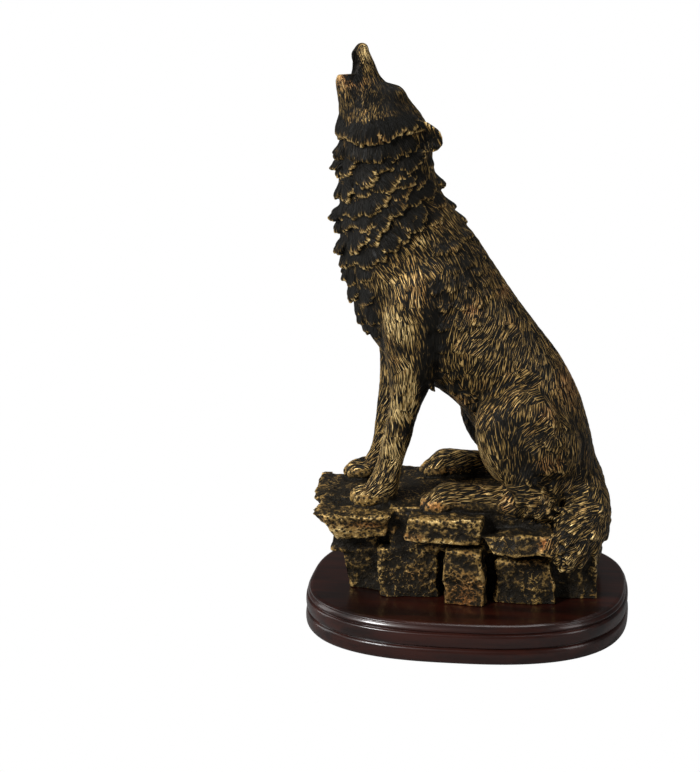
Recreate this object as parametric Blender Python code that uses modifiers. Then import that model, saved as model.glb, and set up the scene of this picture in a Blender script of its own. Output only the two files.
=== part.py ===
"""A howling wolf sitting on a rock ledge: one solid resin casting, glued on an oval wooden plinth.

The wolf faces -X and the plinth's long side runs along X. The origin is the middle of the plinth's underside.
The casting is built as a sculptor blocks out clay: lofted bodies and limbs, rounded masses, clumps of fur
and rough stones are laid into each other, fused into one skin, and then faceted.
"""

import math
import random

import bmesh
import bpy
from mathutils import Matrix, Vector, noise
from mathutils.bvhtree import BVHTree

MM = 0.001

# Overall sizes
PLINTH_LENGTH = 149.2 * MM
PLINTH_WIDTH = 114.0 * MM
PLINTH_HEIGHT = 17.7 * MM
PLINTH_ROUNDNESS = 2.6
GLUE_LINE = 0.3 * MM
ROCK_LENGTH = 136.0 * MM
ROCK_WIDTH = 80.0 * MM
ROCK_HEIGHT = 41.0 * MM
WOLF_HEIGHT = 204.5 * MM

# Height of the wolf and size of the rock as they are drawn below, in millimetres
WOLF_DRAWN_HEIGHT = 204.75
ROCK_DRAWN = (136.0, 80.0, 41.0)

CASTING_BOTTOM = PLINTH_HEIGHT + GLUE_LINE
ROCK_TOP = CASTING_BOTTOM + ROCK_HEIGHT
WOLF_SCALE = WOLF_HEIGHT / MM / WOLF_DRAWN_HEIGHT
ROCK_SCALE = Vector((ROCK_LENGTH, ROCK_WIDTH, ROCK_HEIGHT)) / MM
ROCK_SCALE = Vector(s / d for s, d in zip(ROCK_SCALE, ROCK_DRAWN))

# The plinth's moulded edge, from the underside up: how far in from the widest outline, height
PLINTH_EDGE = [
    (0.8 * MM, 0.0),
    (0.1 * MM, 1.2 * MM),
    (0.0, 3.8 * MM),
    (0.5 * MM, 6.0 * MM),
    (1.5 * MM, 6.9 * MM),
    (0.6 * MM, 7.8 * MM),
    (0.2 * MM, 10.4 * MM),
    (0.5 * MM, 13.0 * MM),
    (1.5 * MM, 13.8 * MM),
    (1.0 * MM, 14.8 * MM),
    (1.5 * MM, 15.8 * MM),
    (1.9 * MM, 16.3 * MM),
    (2.1 * MM, 17.0 * MM),
    (3.4 * MM, 17.7 * MM),
]
PLINTH_EDGE_DRAWN_HEIGHT = 17.7 * MM
PLINTH_SIDES = 56

# Skin of the casting
SKIN_VOXEL = 0.9 * MM
SKIN_SMOOTH_PASSES = 3
SKIN_TRIANGLES = 10500

LOFT_SIDES = 26
LOFT_STEPS = 4

# The torso and neck, from the rump up to the throat: back x, back z, belly x, belly z, half width
TORSO = [
    (63, 0, 50, -3, 10),
    (61.2, 10, 37, -2, 20),
    (57, 20.5, 25, 5, 25),
    (54.4, 34.5, 14, 17, 26),
    (49.8, 49.5, 4, 34, 24),
    (40.8, 66.5, -3, 44.2, 22),
    (29.8, 81, -11, 50.7, 23),
    (19, 95, -21, 56, 25),
    (10.2, 108, -34.5, 64, 26),
    (2.8, 119, -43.8, 76, 25),
    (-3.5, 127.5, -51, 93, 23),
    (-9.5, 135, -54.5, 112, 21),
    (-13.4, 142, -56.2, 130, 19.5),
    (-15.3, 149.5, -56, 147, 18),
    (-17, 157, -54, 160, 16.5),
]

# The head and upper jaw, from the neck up to the nose: throat x, throat z, crown x, crown z, half width
HEAD_TURN = math.radians(26)
HEAD_PIVOT = Vector((-38, 0, 0))
HEAD_SWING = Matrix.Rotation(HEAD_TURN, 4, "Z")
TURNED_HEAD = Matrix.Translation(HEAD_PIVOT) @ HEAD_SWING @ Matrix.Translation(-HEAD_PIVOT)
HEAD = [
    (-54, 156, -16.5, 150, 17),
    (-55.4, 163, -16, 161, 17.5),
    (-55.8, 170, -19, 170, 16.5),
    (-56.2, 177, -24, 177.5, 13.5),
    (-55.8, 183, -28.8, 183.2, 11),
    (-54.3, 187.5, -35.4, 187.2, 8.4),
    (-53.4, 192, -38.8, 191, 6.8),
    (-52.4, 196.5, -40.9, 196, 5.8),
    (-50.6, 200.5, -43.0, 200.5, 4.6),
    (-48.0, 203.6, -45.2, 204.0, 2.6),
]
LOWER_JAW = [
    (-55.6, 174, -46, 176, 8.5),
    (-56.6, 181, -48, 182, 7.4),
    (-57.6, 187, -52.0, 186.6, 5.4),
    (-57.9, 190.0, -54.6, 189.4, 3.8),
    (-57.7, 192.0, -55.8, 191.6, 2.0),
]
MOUTH_HOLLOWS = [
    ((-51.0, 0, 194.6), (5.6, 5.6, 7.4)),
    ((-52.4, 0, 189.8), (4.4, 5.0, 4.0)),
]
NOSE = ((-46.2, 0, 202.7), (2.6, 3.2, 2.2))
BROW = ((-34.6, 6.4, 182.4), (4.6, 3.8, 3.8))
CHEEK = ((-42.0, 9.5, 171.0), (10.5, 8.0, 9.5))

EAR_ROOT = Vector((-26.0, 13.8, 166.2))
EAR_LENGTH = 11.8
EAR_WIDTH = 12.4
EAR_CUP = 4.2
EAR_WALL = 1.8

# The legs in side view: front x, front z, back x, back z, side y, half width
FORELEG = [
    (-30, 104, -2, 92, 15, 11),
    (-35.5, 88, -7, 72, 17, 11.5),
    (-36.5, 72, -13, 60, 17, 10),
    (-36, 58, -16.5, 53, 16.5, 8.2),
    (-36.5, 47, -19.5, 46, 16, 7),
    (-37.5, 38, -22.5, 37, 15.5, 6.2),
    (-38.7, 29, -24, 30, 15.5, 6.4),
    (-39.7, 21, -27.5, 20, 15.5, 5.8),
    (-41.5, 14.5, -29.0, 12, 16.2, 6.2),
    (-44.2, 9.2, -30.5, 4, 17.2, 6.6),
    (-45.5, 3.6, -32, -2, 17.6, 6.4),
]
SHANK = [
    (20, 58, 42, 44, 20, 12),
    (8.5, 50, 36, 30, 24, 12),
    (7, 38, 33, 22, 27, 10),
    (13, 25, 37, 14, 29, 8),
    (22, 13, 42, 8, 29, 6.5),
    (30, 4, 41, 1, 28, 6),
]
HIND_FOOT = [
    (43, 9.5, 42, -1, 26, 4.5),
    (38, 12, 37, -1.5, 25.5, 6),
    (20, 11.8, 20, -1.5, 24.5, 5.6),
    (2, 12.3, 2, -1.5, 23.5, 6.2),
    (-8, 12.3, -8, -1.5, 23.5, 7),
    (-13, 9.3, -13, -1.5, 23.5, 6.6),
]
FAR_FORELEG_STEP = -6.2
FAR_TOES_STEP = -8.8
FAR_THIGH_STEP = -11.5
FAR_FOOT_STEP = -6.5
NEAR_SIDE = -1
FAR_SIDE = 1

THIGH = ((26, 21, 34), (19.5, 14, 24.5))
SHOULDER = ((-18, 17, 92), (17, 12, 24))
HIP = ((37, 16, 28), (15, 13, 20))

# Toes: x behind the foremost one, side offset, toe radius
TOES = [(3.0, -5.9, 2.4), (0.6, -2.1, 2.6), (0.0, 2.0, 2.6), (2.6, 5.8, 2.4)]
TOE_LENGTH = 6.3
TOE_HEIGHT = 3.6
TOE_RISE = 1.5
TOE_TILT = -0.3
FORE_TOE_X = -46.0
HIND_TOE_X = -13.0

# The tail lies round the near side and hangs over the ledge: x, y, z, radius
TAIL = [
    (52, 8, 11, 6),
    (54, -3, 7, 8),
    (55, -13, 4, 9.5),
    (55, -21, 0, 10.5),
    (53.5, -27.5, -5, 10.5),
    (50.5, -32.5, -10, 8.5),
    (47, -35.5, -15, 5.5),
    (44, -37, -19, 2),
]

# Clumps of the ruff and mane on the near side, by the tip's place on the skin.
# Tip x, y, z, direction of the fur below the horizontal in degrees, length, width, lift
CLUMPS = [
    (-55.0, -4.0, 165.2, 130, 12, 8, 3.7),
    (-53.4, -8.2, 164.0, 118, 13, 8, 3.2),
    (-48.4, -13.7, 163.4, 108, 13, 9, 3.2),
    (-42.8, -16.4, 165.6, 98, 13, 9, 3.0),
    (-37.9, -17.7, 166.6, 92, 13, 9, 3.2),
    (-33.4, -16.3, 167.0, 86, 13, 9, 3.2),
    (-28.7, -14.3, 167.0, 80, 12, 9, 3.0),
    (-24.1, -11.0, 167.3, 70, 12, 9, 2.8),
    (-20.5, -6.0, 167.5, 60, 11, 8, 2.4),
    (-54.4, -3.9, 154.7, 140, 12, 8, 4.9),
    (-54.2, -4.7, 154.6, 112, 12, 8, 3.0),
    (-48.2, -12.7, 155.3, 96, 12, 9, 3.0),
    (-42.3, -16.0, 155.1, 86, 12, 10, 3.0),
    (-34.9, -16.6, 157.1, 78, 12, 10, 3.0),
    (-29.0, -15.5, 157.8, 70, 12, 10, 2.8),
    (-23.7, -11.6, 158.3, 60, 12, 9, 2.6),
    (-19.6, -7.2, 158.6, 45, 11, 8, 2.4),
    (-55.2, -4.2, 149.4, 142, 11, 6, 6.2),
    (-55.6, -3.6, 145.7, 118, 12, 9, 3.2),
    (-48.9, -13.2, 149.1, 52, 12, 9, 3.0),
    (-43.4, -16.9, 144.7, 80, 11, 8, 2.6),
    (-38.2, -18.0, 147.0, 42, 13, 11, 3.4),
    (-32.9, -17.4, 151.0, 62, 12, 10, 3.2),
    (-22.0, -12.7, 151.3, 62, 13, 11, 2.8),
    (-15.8, -1.7, 150.6, 40, 11, 9, 1.4),
    (-26.1, -15.8, 148.5, 70, 11, 9, 2.4),
    (-55.9, -3.4, 136.1, 120, 12, 9, 3.4),
    (-48.7, -14.4, 139.4, 38, 13, 10, 3.2),
    (-43.0, -17.6, 139.4, 80, 12, 9, 2.4),
    (-30.5, -18.1, 142.8, 50, 13, 9, 3.4),
    (-24.0, -15.7, 143.8, 66, 12, 10, 2.8),
    (-19.7, -12.6, 144.1, 60, 11, 9, 2.4),
    (-15.0, -9.5, 138.8, 28, 13, 11, 3.0),
    (-13.1, 4.3, 139.8, 30, 12, 9, 3.8),
    (-35.2, -18.7, 141.9, 90, 10, 8, 2.2),
    (-55.4, -4.7, 127.5, 158, 11, 7, 6.7),
    (-53.4, -9.4, 129.1, 104, 12, 9, 3.0),
    (-47.1, -15.9, 130.2, 92, 12, 9, 2.8),
    (-39.7, -19.0, 131.8, 78, 13, 10, 3.2),
    (-33.3, -19.3, 136.6, 46, 13, 11, 3.6),
    (-26.5, -18.9, 133.3, 48, 13, 11, 3.4),
    (-21.1, -16.1, 135.9, 50, 12, 9, 2.4),
    (-17.4, -15.3, 132.0, 20, 12, 9, 3.0),
    (-10.1, -5.6, 134.1, 30, 12, 9, 2.0),
    (-6.8, 5.2, 130.3, 34, 12, 9, 2.7),
    (-25.9, -17.5, 139.0, 60, 11, 9, 2.4),
    (-55.1, -4.1, 121.9, 140, 12, 8, 4.1),
    (-49.4, -14.0, 124.0, 62, 13, 10, 3.2),
    (-41.1, -19.0, 126.2, 66, 12, 9, 2.8),
    (-31.1, -20.4, 127.8, 34, 13, 10, 3.2),
    (-22.5, -19.1, 127.7, 52, 12, 9, 2.6),
    (-18.2, -18.0, 126.7, 52, 14, 11, 3.6),
    (-35.8, -20.2, 127.6, 60, 11, 8, 2.2),
    (-10.7, -12.6, 128.1, 44, 11, 9, 1.6),
    (-2.0, 4.6, 124.4, 36, 12, 9, 2.3),
    (-53.9, -5.0, 112.8, 140, 12, 8, 6.1),
    (-54.0, -5.4, 115.2, 110, 12, 9, 2.8),
    (-46.7, -15.7, 114.9, 72, 13, 10, 3.2),
    (-40.3, -19.5, 120.2, 40, 13, 10, 3.2),
    (-35.5, -20.7, 121.0, 26, 12, 9, 3.0),
    (-23.3, -20.6, 122.4, 46, 13, 9, 3.0),
    (-28.1, -21.8, 118.2, 46, 13, 10, 3.2),
    (-33.6, -21.7, 113.1, 46, 13, 9, 3.0),
    (-53.0, -5.1, 106.4, 128, 12, 8, 4.1),
    (-49.0, -12.6, 107.9, 90, 12, 10, 2.8),
    (-41.8, -18.7, 108.5, 80, 12, 9, 2.4),
    (-52.0, -5.3, 100.8, 112, 11, 8, 4.5),
    (-50.1, -8.9, 99.1, 92, 12, 10, 2.6),
    (-43.3, -17.3, 102.3, 80, 11, 8, 2.2),
    (-49.6, -5.6, 91.3, 108, 11, 8, 3.9),
    (-47.7, -10.3, 92.6, 70, 12, 9, 3.0),
    (-40.8, -17.2, 91.7, 58, 12, 9, 2.8),
    (-47.2, -5.1, 84.7, 100, 11, 8, 2.6),
    (-45.5, -5.9, 81.2, 112, 11, 8, 3.5),
    (-43.3, -6.2, 77.1, 100, 12, 9, 2.8),
    (-39.2, -16.0, 82.9, 84, 11, 8, 2.4),
    (-38.5, -12.7, 75.6, 90, 11, 7, 2.4),
]
MIRRORED_FROM = 6.0
HEAD_CLUMPS_FROM = 158.0

# Shaggy clumps of the haunch and tail, on the near side only
TAIL_CLUMPS = [
    (30, -33, 14, 40, 13, 9, 2.9),
    (38, -36, 12, 42, 13, 9, 3.2),
    (46, -36, 10, 55, 13, 9, 3.2),
    (36, -38, 3, 30, 13, 9, 3.5),
    (44, -40, 1, 45, 13, 9, 3.8),
    (52, -38, 0, 70, 13, 9, 3.5),
    (59, -32, -2, 85, 13, 9, 3.5),
    (47, -42, -8, 80, 13, 9, 3.8),
    (54, -39, -9, 95, 13, 9, 3.8),
    (60, -30, -11, 100, 12, 9, 3.2),
    (46, -40, -16, 105, 12, 8, 3.5),
    (52, -37, -18, 110, 12, 8, 3.2),
    (41, -38, 22, 60, 12, 9, 2.6),
    (49, -30, 22, 72, 12, 9, 2.6),
    (33, -36, 27, 65, 11, 8, 2.2),
]
TONGUE_THICKNESS = 0.5

# Along a clump: how far along, share of its width, share of its lift
TONGUE_STAGES = [
    (-0.15, 0.30, -0.16),
    (0.15, 0.60, -0.04),
    (0.42, 0.85, 0.20),
    (0.68, 1.00, 0.60),
    (0.88, 0.85, 0.95),
    (1.00, 0.28, 1.00),
]
TONGUE_SIDES = 8

# Stones of the rock: x from and to, y from and to, z from and to above the plinth, undercut of the bottom
STONES = [
    (-48, 54, -20, 24, -4, 34, 0),
    (-53.5, -37, -20, 2, -4, 20.5, 0),
    (-36, -10, -27, 0, -4, 23, 0),
    (-7, 12, -35.5, -5, -4, 27, 0),
    (15, 42, -28.5, 0, -4, 20.5, 0),
    (43, 59, -19, 6, -4, 24, 0),
    (-59.5, -37, -24, 2, 18, 34, 0),
    (-65, -31, -34, -8, 32.5, 41, 5),
    (-71, -24, -13, 20, 34.0, 41.6, 4),
    (-24, 11, -37, -4, 29, 41.5, 0),
    (11, 47, -40, -10, 26.5, 35.5, 2),
    (-32, 56, -27, 33, 22, 42, 0),
    (44, 65.5, -20, 20, 20, 37, 6),
    (50, 60, -4, 28, 8, 24, 0),
    (-55, -33, 5, 29, -4, 25, 0),
    (-31, -6, 8, 34, -4, 27, 0),
    (-3, 24, 8, 31, -4, 23, 0),
    (27, 56, 6, 33, -4, 26, 0),
    (-60, -18, 5, 36, 27, 40, 3),
    (-16, 28, 8, 38, 26, 38, 2),
    (24, 60, 4, 36, 25, 40, 2),
]
STONE_SEED = 5
STONE_SKEW = 2.2
STONE_ROUGHNESS = 1.7
STONE_GRAIN = 9.0


def clear_scene():
    for obj in list(bpy.data.objects):
        bpy.data.objects.remove(obj)


def named_collection(name):
    collection = bpy.data.collections.new(name)
    bpy.context.scene.collection.children.link(collection)
    return collection


def finish(name, colour, roughness, metallic):
    material = bpy.data.materials.new(name)
    material.use_nodes = True
    shader = material.node_tree.nodes["Principled BSDF"]
    shader.inputs["Base Color"].default_value = (*colour, 1.0)
    shader.inputs["Roughness"].default_value = roughness
    shader.inputs["Metallic"].default_value = metallic
    return material


def between(stations, row):
    """The station at a fractional row, on a Catmull-Rom curve through the rows."""
    last = len(stations) - 1
    i = min(int(row), last - 1)
    t = row - i
    p0, p1, p2, p3 = (stations[min(max(k, 0), last)] for k in (i - 1, i, i + 1, i + 2))
    return [
        0.5 * (2 * b + (c - a) * t + (2 * a - 5 * b + 4 * c - d) * t**2 + (3 * b - a - 3 * c + d) * t**3)
        for a, b, c, d in zip(p0, p1, p2, p3)
    ]


def ring_point(station, angle, side=0.0):
    """A point of a side-view station: angle 0 is its first profile point, pi its second one."""
    x1, z1, x2, z2, half = station
    x = (x1 + x2) / 2 + (x1 - x2) / 2 * math.cos(angle)
    z = (z1 + z2) / 2 + (z1 - z2) / 2 * math.cos(angle)
    return Vector((x, side + half * math.sin(angle), z))


def skin_rings(mesh, rings):
    """Closes a row of rings of points into one body, with a flat face at each end."""
    rows = [[mesh.verts.new(point) for point in ring] for ring in rings]
    count = len(rows[0])
    for row, following in zip(rows, rows[1:]):
        for k in range(count):
            j = (k + 1) % count
            mesh.faces.new((row[k], row[j], following[j], following[k]))
    mesh.faces.new(rows[0][::-1])
    mesh.faces.new(rows[-1])


def loft(mesh, stations, side=0.0):
    """A body through side-view stations, as wide to each side as its half width."""
    steps = (len(stations) - 1) * LOFT_STEPS
    rings = []
    for step in range(steps + 1):
        station = between(stations, step / LOFT_STEPS)
        rings.append([ring_point(station, math.tau * k / LOFT_SIDES, side) for k in range(LOFT_SIDES)])
    skin_rings(mesh, rings)


def limb(mesh, stations, side, step_x):
    """A leg from stations that also give how far out it stands."""
    rows = (len(stations) - 1) * LOFT_STEPS
    rings = []
    for row in range(rows + 1):
        *profile, out, half = between(stations, row / LOFT_STEPS)
        station = (profile[0] + step_x, profile[1], profile[2] + step_x, profile[3], half)
        rings.append([ring_point(station, math.tau * k / LOFT_SIDES, side * out) for k in range(LOFT_SIDES)])
    skin_rings(mesh, rings)


def tube_point(path, row, angle):
    """A point on a round body, angle 0 being on its upper side."""
    *centre, radius = between(path, row)
    ahead = Vector(between(path, min(row + 0.05, len(path) - 1))[:3])
    behind = Vector(between(path, max(row - 0.05, 0))[:3])
    along = (ahead - behind).normalized()
    side = along.cross((0, 0, 1)).normalized()
    top = side.cross(along)
    return Vector(centre) + (top * math.cos(angle) + side * math.sin(angle)) * radius


def tube(mesh, path):
    """A round body along points that each have a radius."""
    rows = (len(path) - 1) * LOFT_STEPS
    turns = [math.tau * k / LOFT_SIDES for k in range(LOFT_SIDES)]
    rings = [[tube_point(path, row / LOFT_STEPS, angle) for angle in turns] for row in range(rows + 1)]
    skin_rings(mesh, rings)


def mass(mesh, centre, radii, tilt=0.0):
    """A rounded lump of clay, turned by tilt in side view."""
    place = Matrix.Translation(centre) @ Matrix.Rotation(tilt, 4, "Y") @ Matrix.Diagonal((*radii, 1))
    bmesh.ops.create_uvsphere(mesh, u_segments=24, v_segments=14, radius=1, matrix=place)


def pair(centre, radii, side, step_x=0.0):
    return (centre[0] + step_x, side * centre[1], centre[2]), radii


def tongue(mesh, root, along, out, length, width, lift):
    """A lock of fur: it leaves the skin at its root, spreads, and its blunt tip stands off by lift."""
    across = along.cross(out).normalized()
    rings = []
    for reach, swell, rise in TONGUE_STAGES:
        centre = root + along * (length * reach) + out * (lift * rise)
        half = width / 2 * swell
        thick = half * TONGUE_THICKNESS
        angles = [math.tau * k / TONGUE_SIDES for k in range(TONGUE_SIDES)]
        rings.append([centre + across * (half * math.cos(a)) + out * (thick * math.sin(a)) for a in angles])
    skin_rings(mesh, rings)


def clump(mesh, surface, tip, angle, length, width, lift):
    """One clump of the coat, lying on the clay in side view's direction and ending at its tip."""
    run = Vector((math.cos(angle), 0, -math.sin(angle)))
    end, out, _, _ = surface.find_nearest(tip)
    along = (run - out * run.dot(out)).normalized()
    root, _, _, _ = surface.find_nearest(end - along * length)
    tongue(mesh, root, (end - root).normalized(), out, (end - root).length, width, lift)


def mirrored(place):
    """The same place on the far side, across the turned head's own middle plane where it is on the head."""
    flip = Matrix.Diagonal((1, -1, 1, 1))
    if place.z > HEAD_CLUMPS_FROM:
        flip = TURNED_HEAD @ flip @ TURNED_HEAD.inverted()
    return flip @ place


def coat(mesh):
    """All the clumps, laid on the clay that is there so far."""
    surface = BVHTree.FromBMesh(mesh)
    for x, y, z, degrees, *size in CLUMPS + TAIL_CLUMPS:
        clump(mesh, surface, Vector((x, y, z)), math.radians(degrees), *size)
    for x, y, z, degrees, *size in CLUMPS:
        if abs(y) > MIRRORED_FROM:
            clump(mesh, surface, mirrored(Vector((x, y, z))), math.radians(degrees), *size)


def solid_object(mesh, name):
    bmesh.ops.recalc_face_normals(mesh, faces=mesh.faces)
    data = bpy.data.meshes.new(name)
    mesh.to_mesh(data)
    mesh.free()
    return bpy.data.objects.new(name, data)


def ear(mesh, side):
    """A rounded, cupped ear laid back along the neck, its hollow facing out and forwards."""
    grid = 8
    back = Vector((0.80, 0.30 * side, -0.35)).normalized()
    up = Vector((0.35, 0.0, 0.94)).normalized()
    out = up.cross(back).normalized() * side
    faces = []
    root = Vector((EAR_ROOT.x, EAR_ROOT.y * side, EAR_ROOT.z))
    for layer in (0, 1):
        rows = []
        for i in range(grid + 1):
            u = i / grid
            half = EAR_WIDTH / 2 * math.sqrt(max(1 - u**2.6, 0.02))
            row = []
            for j in range(grid + 1):
                v = 2 * j / grid - 1
                dish = EAR_CUP * (v * v + 0.6 * u * u - 0.6)
                point = root + back * (EAR_LENGTH * u) + up * (half * v) + out * (dish + layer * -EAR_WALL)
                row.append(mesh.verts.new(point))
            rows.append(row)
        faces.append(rows)
    inner, outer = faces
    for i in range(grid):
        for j in range(grid):
            mesh.faces.new((inner[i][j], inner[i + 1][j], inner[i + 1][j + 1], inner[i][j + 1]))
            mesh.faces.new((outer[i][j], outer[i][j + 1], outer[i + 1][j + 1], outer[i + 1][j]))
    for i in range(grid):
        mesh.faces.new((inner[i][0], outer[i][0], outer[i + 1][0], inner[i + 1][0]))
        mesh.faces.new((inner[i][grid], inner[i + 1][grid], outer[i + 1][grid], outer[i][grid]))
        mesh.faces.new((inner[0][i], inner[0][i + 1], outer[0][i + 1], outer[0][i]))
        mesh.faces.new((inner[grid][i], outer[grid][i], outer[grid][i + 1], inner[grid][i + 1]))


def head_clay():
    """The head as drawn, looking straight ahead."""
    clay = bmesh.new()
    loft(clay, HEAD)
    loft(clay, LOWER_JAW)
    mass(clay, *NOSE)
    for side in (NEAR_SIDE, FAR_SIDE):
        mass(clay, *pair(*BROW, side))
        mass(clay, *pair(*CHEEK, side))
        ear(clay, side)
    return clay


def paw(mesh, toe_x, foot_y, side):
    """Four toes at the end of a foot, the middle two foremost."""
    for behind, offset, radius in TOES:
        centre = (toe_x + behind, side * (foot_y - offset), TOE_HEIGHT)
        mass(mesh, centre, (TOE_LENGTH, radius, radius + TOE_RISE), tilt=TOE_TILT)


def wolf_clay():
    clay = head_clay()
    bmesh.ops.transform(clay, matrix=TURNED_HEAD, verts=clay.verts)
    loft(clay, TORSO)
    for side, fore_step, toes_step, thigh_step, foot_step in (
        (NEAR_SIDE, 0.0, 0.0, 0.0, 0.0),
        (FAR_SIDE, FAR_FORELEG_STEP, FAR_TOES_STEP, FAR_THIGH_STEP, FAR_FOOT_STEP),
    ):
        limb(clay, FORELEG, side, fore_step)
        limb(clay, SHANK, side, thigh_step)
        limb(clay, HIND_FOOT, side, foot_step)
        mass(clay, *pair(*THIGH, side, thigh_step), tilt=-0.25)
        mass(clay, *pair(*SHOULDER, side), tilt=0.35)
        mass(clay, *pair(*HIP, side))
        paw(clay, FORE_TOE_X + toes_step, FORELEG[-1][4], side)
        paw(clay, HIND_TOE_X + foot_step, HIND_FOOT[-1][4], side)
    tube(clay, TAIL)
    coat(clay)
    return clay


def stone(mesh, bounds, seed):
    """A rough block: a cube with its corners shifted, then weathered with noise."""
    chance = random.Random(seed)
    x0, x1, y0, y1, z0, z1, undercut = bounds
    corners = {}
    for i in (0, 1):
        for j in (0, 1):
            for k in (0, 1):
                inset = 0 if k else undercut
                corner = Vector(((x0 + inset, x1 - inset)[i], (y0 + inset, y1 - inset)[j], (z0, z1)[k]))
                shift = Vector(chance.uniform(-STONE_SKEW, STONE_SKEW) for _ in range(3))
                shift.z *= 0.35
                corners[i, j, k] = corner + shift
    block = bmesh.new()
    bmesh.ops.create_cube(block, size=1)
    bmesh.ops.subdivide_edges(block, edges=block.edges, cuts=7, use_grid_fill=True)
    for vert in block.verts:
        u, v, w = (c + 0.5 for c in vert.co)
        place = Vector((0, 0, 0))
        for (i, j, k), corner in corners.items():
            share = (u if i else 1 - u) * (v if j else 1 - v) * (w if k else 1 - w)
            place += corner * share
        shift = noise.noise_vector(place / STONE_GRAIN + Vector((seed, 0, 0)))
        vert.co = place + shift * STONE_ROUGHNESS
    data = bpy.data.meshes.new("stone_clay")
    block.to_mesh(data)
    block.free()
    mesh.from_mesh(data)
    bpy.data.meshes.remove(data)


def rock_clay():
    noise.seed_set(STONE_SEED)
    clay = bmesh.new()
    for number, bounds in enumerate(STONES):
        stone(clay, bounds, STONE_SEED + number)
    return clay


def keep_outer_skin(mesh):
    """Drops any closed pocket that the clay left inside, and keeps the skin that can be seen."""
    mesh.verts.ensure_lookup_table()
    seen = set()
    shells = []
    for start in mesh.verts:
        if start in seen:
            continue
        shell, edge = [], [start]
        seen.add(start)
        while edge:
            vert = edge.pop()
            shell.append(vert)
            for link in vert.link_edges:
                other = link.other_vert(vert)
                if other not in seen:
                    seen.add(other)
                    edge.append(other)
        shells.append(shell)
    shells.sort(key=len, reverse=True)
    inner = [vert for shell in shells[1:] for vert in shell]
    bmesh.ops.delete(mesh, geom=inner, context="VERTS")


def press(mesh, place):
    """Pushes the skin back to the far wall of a rounded hollow, given as a unit ball's place."""
    to_ball = place.inverted()
    for vert in mesh.verts:
        spot = to_ball @ vert.co
        if spot.length < 1:
            spot.x = math.sqrt(1 - spot.y**2 - spot.z**2)
            vert.co = place @ spot


def evaluated_mesh(body):
    graph = bpy.context.evaluated_depsgraph_get()
    mesh = bmesh.new()
    mesh.from_mesh(body.evaluated_get(graph).to_mesh())
    return mesh


def fused(clay, name, hollows):
    """Fuses overlapping clay into one smooth skin, presses hollows, facets it and cuts its underside flat."""
    body = solid_object(clay, name + "_clay")
    bpy.context.scene.collection.objects.link(body)
    fuse = body.modifiers.new("fuse", "REMESH")
    fuse.mode = "VOXEL"
    fuse.voxel_size = SKIN_VOXEL
    smooth = body.modifiers.new("smooth", "SMOOTH")
    smooth.factor = 0.5
    smooth.iterations = SKIN_SMOOTH_PASSES
    skin = evaluated_mesh(body)
    keep_outer_skin(skin)
    for place in hollows:
        press(skin, place)
    bmesh.ops.triangulate(skin, faces=skin.faces)
    share = SKIN_TRIANGLES / len(skin.faces)
    body.modifiers.clear()
    skin.to_mesh(body.data)
    skin.free()
    facet = body.modifiers.new("facet", "DECIMATE")
    facet.ratio = share
    faceted = evaluated_mesh(body)
    bpy.data.objects.remove(body)
    bmesh.ops.bisect_plane(
        faceted,
        geom=[*faceted.verts, *faceted.edges, *faceted.faces],
        plane_co=(0, 0, CASTING_BOTTOM),
        plane_no=(0, 0, 1),
        clear_inner=True,
    )
    open_edges = [edge for edge in faceted.edges if edge.is_boundary]
    bmesh.ops.holes_fill(faceted, edges=open_edges)
    bmesh.ops.triangulate(faceted, faces=faceted.faces)
    return solid_object(faceted, name)


def casting():
    """The wolf and its rock, cast in one piece."""
    clay = wolf_clay()
    to_rock_top = Matrix.Translation((0, 0, ROCK_TOP)) @ Matrix.Scale(WOLF_SCALE * MM, 4)
    bmesh.ops.transform(clay, matrix=to_rock_top, verts=clay.verts)
    rock = rock_clay()
    to_plinth = Matrix.Translation((0, 0, CASTING_BOTTOM)) @ Matrix.Diagonal((*(ROCK_SCALE * MM), 1))
    bmesh.ops.transform(rock, matrix=to_plinth, verts=rock.verts)
    data = bpy.data.meshes.new("rock_clay")
    rock.to_mesh(data)
    rock.free()
    clay.from_mesh(data)
    bpy.data.meshes.remove(data)
    to_head = to_rock_top @ TURNED_HEAD
    hollows = [
        to_head @ Matrix.Translation(centre) @ Matrix.Diagonal((*radii, 1)) for centre, radii in MOUTH_HOLLOWS
    ]
    return fused(clay, "wolf_on_rock", hollows)


def oval(inset, height):
    """The plinth's outline, pulled in all round by inset."""
    points = []
    for k in range(PLINTH_SIDES):
        angle = math.tau * k / PLINTH_SIDES
        c, s = math.cos(angle), math.sin(angle)
        x = math.copysign(abs(c) ** (2 / PLINTH_ROUNDNESS), c) * (PLINTH_LENGTH / 2 - inset)
        y = math.copysign(abs(s) ** (2 / PLINTH_ROUNDNESS), s) * (PLINTH_WIDTH / 2 - inset)
        points.append(Vector((x, y, height)))
    return points


def plinth():
    """The moulded wooden plinth: a bead, a band and a foot, stacked round an oval."""
    wood = bmesh.new()
    rise = PLINTH_HEIGHT / PLINTH_EDGE_DRAWN_HEIGHT
    skin_rings(wood, [oval(inset, height * rise) for inset, height in PLINTH_EDGE])
    return solid_object(wood, "plinth")


def main():
    clear_scene()
    figurine = named_collection("howling_wolf_figurine")
    bronze = finish("aged_bronze_resin", (0.09, 0.065, 0.035), 0.5, 0.35)
    mahogany = finish("lacquered_wood", (0.07, 0.02, 0.012), 0.22, 0.0)
    wolf = casting()
    base = plinth()
    for obj, material in ((wolf, bronze), (base, mahogany)):
        obj.data.materials.append(material)
        figurine.objects.link(obj)
        obj.data.shade_smooth()
        obj.data.set_sharp_from_angle(angle=math.radians(40))


main()
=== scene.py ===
"""The looks of the howling wolf figurine: a bronze-painted resin casting on a lacquered wooden plinth."""

import math
import random

import bmesh
import bpy
import numpy as np
from mathutils import Matrix, Vector, noise
from mathutils.bvhtree import BVHTree
from mathutils.kdtree import KDTree


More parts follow.
